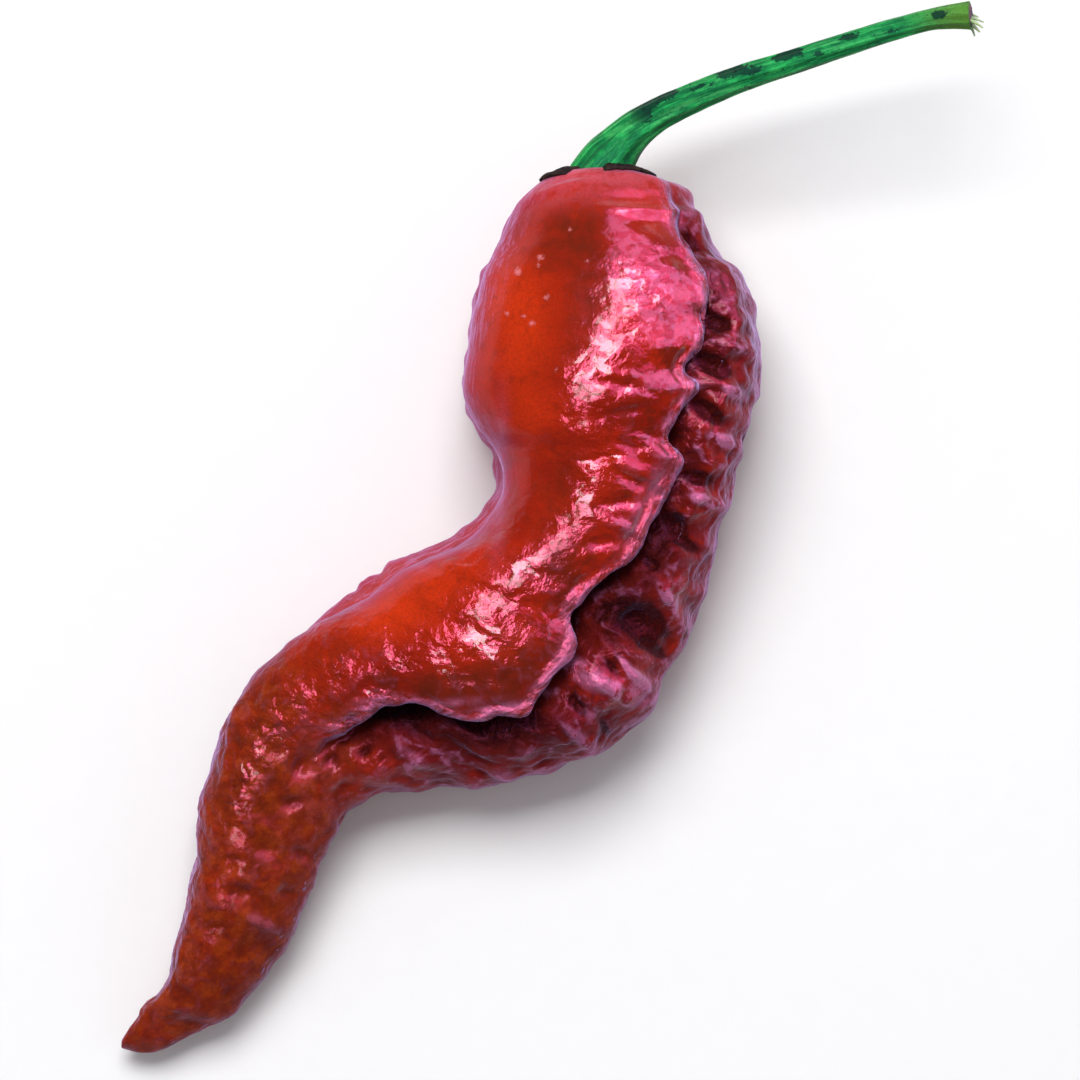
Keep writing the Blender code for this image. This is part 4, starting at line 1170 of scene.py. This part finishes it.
def make_stem():
    """The stem: a ribbed section swept along its path, with a slight twist."""
    rows = resampled(STEM_PATH, STEM_RINGS)
    spots = np.stack([rows[:, 0] / 1.7, rows[:, 1] / 1.7, rows[:, 2]], axis=-1)
    wobble = 1 + STEM_WOBBLE * lattice_noise(spots, 5)
    stem = path_object("stem_stalk", rows[:, :3] * MM, rows[:, 3] * wobble * STEM_INSET * MM)
    sweep = Shaper("stem_sweep", {
        "Ribs": STEM_RIBS,
        "Rib Height": STEM_RIB_HEIGHT,
        "Twist": STEM_TWIST,
        "Columns": STEM_COLUMNS,
        "Material": stem_look(),
    })
    path = sweep.node("GeometryNodeMeshToCurve", None, {"Mesh": sweep.geometry})
    parameter = sweep.node("GeometryNodeSplineParameter")
    path = sweep.store(path, "along", parameter.out("Length") / MM)
    tilt = parameter * sweep.given("Twist")
    path = sweep.node("GeometryNodeSetCurveTilt", None, {"Curve": path, "Tilt": tilt})
    section = sweep.circle(sweep.given("Columns"))
    turn = sweep.node("GeometryNodeInputIndex") * math.tau / sweep.given("Columns")
    wave = (turn * sweep.given("Ribs")).cosine() * 0.5 + 0.5
    place = sweep.node("GeometryNodeInputPosition")
    uneven = sweep.noise(place, 2.3, 1.0)
    section = sweep.store(section, "rib", wave)
    section = sweep.store(section, "around", turn)
    grow = wave * uneven * 2 * sweep.given("Rib Height") - sweep.given("Rib Height") * 0.5
    moved = {"Geometry": section, "Offset": sweep.scaled(place, grow)}
    section = sweep.node("GeometryNodeSetPosition", None, moved)
    sweep.finish(sweep.tube(path, section, sweep.named("thickness")))
    sweep.apply(stem)
    places = np.array([vertex.co[:] for vertex in stem.data.vertices]) / MM
    write_mask(stem, "blotch", painted(places, STEM_BLOTCHES))
    return stem


def make_cut():
    """The dark cut face: a thin, broken disc sunk in the stem's end."""
    rows = np.array(STEM_PATH)
    end = Vector(rows[-1, :3])
    along = (end - Vector(rows[-2, :3])).normalized()
    turn = along.to_track_quat("Z", "Y")
    radius = rows[-1, 3] * 0.80
    shape = bmesh.new()
    bmesh.ops.create_uvsphere(shape, u_segments=40, v_segments=24, radius=1)
    places = np.array([vert.co[:] for vert in shape.verts])
    rough = lattice_noise(places * 3.1 + 7, 3)
    for vert, bump in zip(shape.verts, rough):
        spread = radius * (1 + 0.12 * bump)
        flat = Vector((vert.co.x * spread, vert.co.y * spread, vert.co.z * 0.16 + 0.09 * bump))
        vert.co = (end + turn @ flat) * MM
    mesh = mesh_of("stem_cut_face", shape)
    mesh.shade_smooth()
    mesh.materials.append(torn_look(
        "stem_cut", (1600.0, 4.0, 0.65), (0.4, 0.7), (CUT_DARK, CUT_PALE), 0.7, (COARSE_BUMP, 1.0)
    ))
    return new_object("stem_cut_face", mesh)


def make_fibres():
    """Torn strands at the cut end: one tapered strand, placed on each root towards its tip."""
    roots = np.array([row[0] for row in FIBRES])
    tips = np.array([row[1] for row in FIBRES])
    mesh = bpy.data.meshes.new("stem_fibres")
    mesh.from_pydata([tuple(root * MM) for root in roots], [], [])
    fibres = new_object("stem_fibres", mesh)
    write_mask(fibres, "heading", tips - roots)
    write_mask(fibres, "reach", np.linalg.norm(tips - roots, axis=1) * MM)
    write_mask(fibres, "thickness", [row[2] * MM for row in FIBRES])
    look = torn_look(
        "stem_fibre", (1400.0, 3.0, 0.6), (0.4, 0.65), (FIBRE_GREEN, FIBRE_PALE), 0.5, (FINE_BUMP, 0.8)
    )
    strand = Shaper("fibre_strands", {"Bow": 0.16, "Tip": 0.25, "Material": look})
    bow = strand.node("ShaderNodeCombineXYZ", None, {0: strand.given("Bow"), 1: 0.0, 2: 0.55})
    line = strand.node("GeometryNodeCurveQuadraticBezier", None, {
        "Resolution": 10,
        "Start": (0, 0, -0.15),
        "Middle": bow,
        "End": (0, 0, 1),
    })
    taper = 1 - strand.node("GeometryNodeSplineParameter") * (1 - strand.given("Tip"))
    tube = strand.tube(line, strand.circle(8), taper * STRAND_RADIUS)
    heading = strand.named("heading", "FLOAT_VECTOR")
    turn = strand.node("FunctionNodeAlignRotationToVector", {"axis": "Z"}, {"Vector": heading})
    reach, thickness = strand.named("reach"), strand.named("thickness")
    wide = thickness / STRAND_RADIUS
    scale = strand.node("ShaderNodeCombineXYZ", None, {0: wide, 1: wide, 2: reach})
    placed = strand.node("GeometryNodeInstanceOnPoints", None, {
        "Points": strand.geometry,
        "Instance": tube,
        "Rotation": turn,
        "Scale": scale,
    })
    strand.finish(placed)
    return strand.apply(fibres)


def make_calyx():
    """The dried calyx: a thin ragged cap pressed to the shoulder."""
    grid = pod_surface(POD_RINGS, CALYX_COLUMNS)[0]
    out = skin_normals(grid)
    grid = np.concatenate([np.full((1, CALYX_COLUMNS, 3), POD_START), grid])
    out = np.concatenate([np.full((1, CALYX_COLUMNS, 3), (0.0, 1.0, 0.0)), out])
    spacing = pod_slices(np.zeros(1))[-1] / (POD_RINGS + 1)
    share = np.arange(CALYX_COLUMNS) / CALYX_COLUMNS
    circle = np.stack([np.cos(math.tau * share), np.sin(math.tau * share), 0 * share], axis=-1)
    edge = CALYX_REACH + CALYX_SKEW * np.cos(math.tau * (share - CALYX_SKEW_TURN))
    edge = edge + 0.55 * lattice_noise(circle * 2.2 + 9, 21) + 0.7 * lattice_noise(circle * 7 + 4, 22)
    turn = math.pi * (np.arange(CALYX_RINGS) + 1) / (CALYX_RINGS + 1)
    steps = np.sin(turn)[:, None] * edge / spacing
    lower = np.floor(steps).astype(int)
    part = (steps - lower)[..., None]
    column = np.arange(CALYX_COLUMNS)[None]
    place, outward = (t[lower, column] * (1 - part) + t[lower + 1, column] * part for t in (grid, out))
    outward = outward / np.linalg.norm(outward, axis=-1, keepdims=True)
    side = np.sign(np.cos(turn)) * np.abs(np.cos(turn)) ** 0.4
    lumps = lattice_noise(place * 1.1 + 3, 23) * 0.22 + lattice_noise(place * 2.7 + 5, 24) * 0.12
    rim = grid[CALYX_FRONT_RING]
    around = np.arctan2(rim[:, 0] - CALYX_MIDDLE[0], rim[:, 2] - CALYX_MIDDLE[1])
    first, last = CALYX_COVERED
    covered = smooth_step((around - first) / 0.12) * smooth_step((last - around) / 0.12)
    thick = CALYX_THICKNESS * (1 + side[:, None]) / 2 + lumps * np.clip(side, 0, 1)[:, None] - CALYX_FOOT
    thick = thick * (1 - covered) - 0.12 * covered
    places = place + outward * thick[..., None]
    start = Vector(POD_START) + Vector((0, CALYX_THICKNESS, 0))
    end = Vector(POD_START) - Vector((0, CALYX_FOOT, 0))
    calyx = closed_skin("calyx_cap", places, start, end)[0]
    calyx.data.shade_smooth()
    calyx.data.materials.append(calyx_look())
    return calyx


# The lamps: place, size, power, colour, and whether a lamp only makes highlights. The others only light
# the surfaces. Places and sizes are in metres.
LAMPS = {
    "key": ((-0.10, 0.44, 0.78), (0.55, 0.42), 8.8, (1.0, 1.0, 1.0), False),
    "strip": ((0.06, 0.16, 0.80), (0.24, 1.10), 28.0, (1.0, 0.88, 0.94), True),
    "panel_right": ((0.58, 0.28, 0.46), (0.84, 0.80), 18.0, (1.0, 0.45, 0.95), True),
    "panel_far": ((0.24, 0.62, 0.42), (0.46, 0.50), 6.0, (1.0, 0.45, 0.90), True),
}
LAMP_TARGET = (0, 0, 0.008)


def area_light(name, place, size, watts, colour, only_shines):
    """A soft rectangular lamp aimed at the pod."""
    lamp = bpy.data.lights.new(name, "AREA")
    lamp.shape = "RECTANGLE"
    lamp.size, lamp.size_y = size
    lamp.energy = watts
    lamp.color = colour
    obj = new_object(name, lamp)
    obj.location = place
    aim = Vector(LAMP_TARGET) - Vector(place)
    obj.rotation_euler = aim.to_track_quat("-Z", "Y").to_euler()
    obj.visible_diffuse = not only_shines
    obj.visible_glossy = only_shines
    obj.visible_camera = False


VIEW_WIDTH = 0.0918          # width of the view at the height of the pod's widest part
CAMERA_DISTANCE = 0.600
VIEW_CENTRE = (-0.000935, -0.00085, 0.011)


def make_camera():
    """Looking straight down, through a long lens."""
    camera = bpy.data.cameras.new("camera_above")
    camera.sensor_width = 36.0
    camera.lens = camera.sensor_width * CAMERA_DISTANCE / VIEW_WIDTH
    camera.clip_end = 10.0
    obj = new_object("camera_above", camera)
    x, y, z = VIEW_CENTRE
    obj.location = (x, y, z + CAMERA_DISTANCE)
    bpy.context.scene.camera = obj


def make_studio():
    """A white board, a soft key from the upper left, a strip overhead and two panels on the right."""
    shape = bmesh.new()
    bmesh.ops.create_grid(shape, x_segments=8, y_segments=8, size=1.5)
    mesh = mesh_of("floor", shape)
    mesh.materials.append(floor_look())
    floor = new_object("floor", mesh)

    world = bpy.data.worlds.new("studio_world")
    bpy.context.scene.world = world
    world.use_nodes = True
    sky = Graph(world.node_tree)
    sky.feed(world.node_tree.nodes["Background"], {"Color": (0.95, 0.95, 1.0, 1), "Strength": 0.40})
    world.cycles_visibility.glossy = False

    for name, lamp in LAMPS.items():
        area_light(name, *lamp)
    bpy.context.scene.view_settings.view_transform = "Standard"


make_camera()
make_studio()

pod = make_pod()
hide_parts("pod")
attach(pod, "root")

calyx = make_calyx()
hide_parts("calyx")
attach(calyx, "root")

stem = make_stem()
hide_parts("stem")
for piece in (stem, make_cut(), make_fibres()):
    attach(piece, "root")
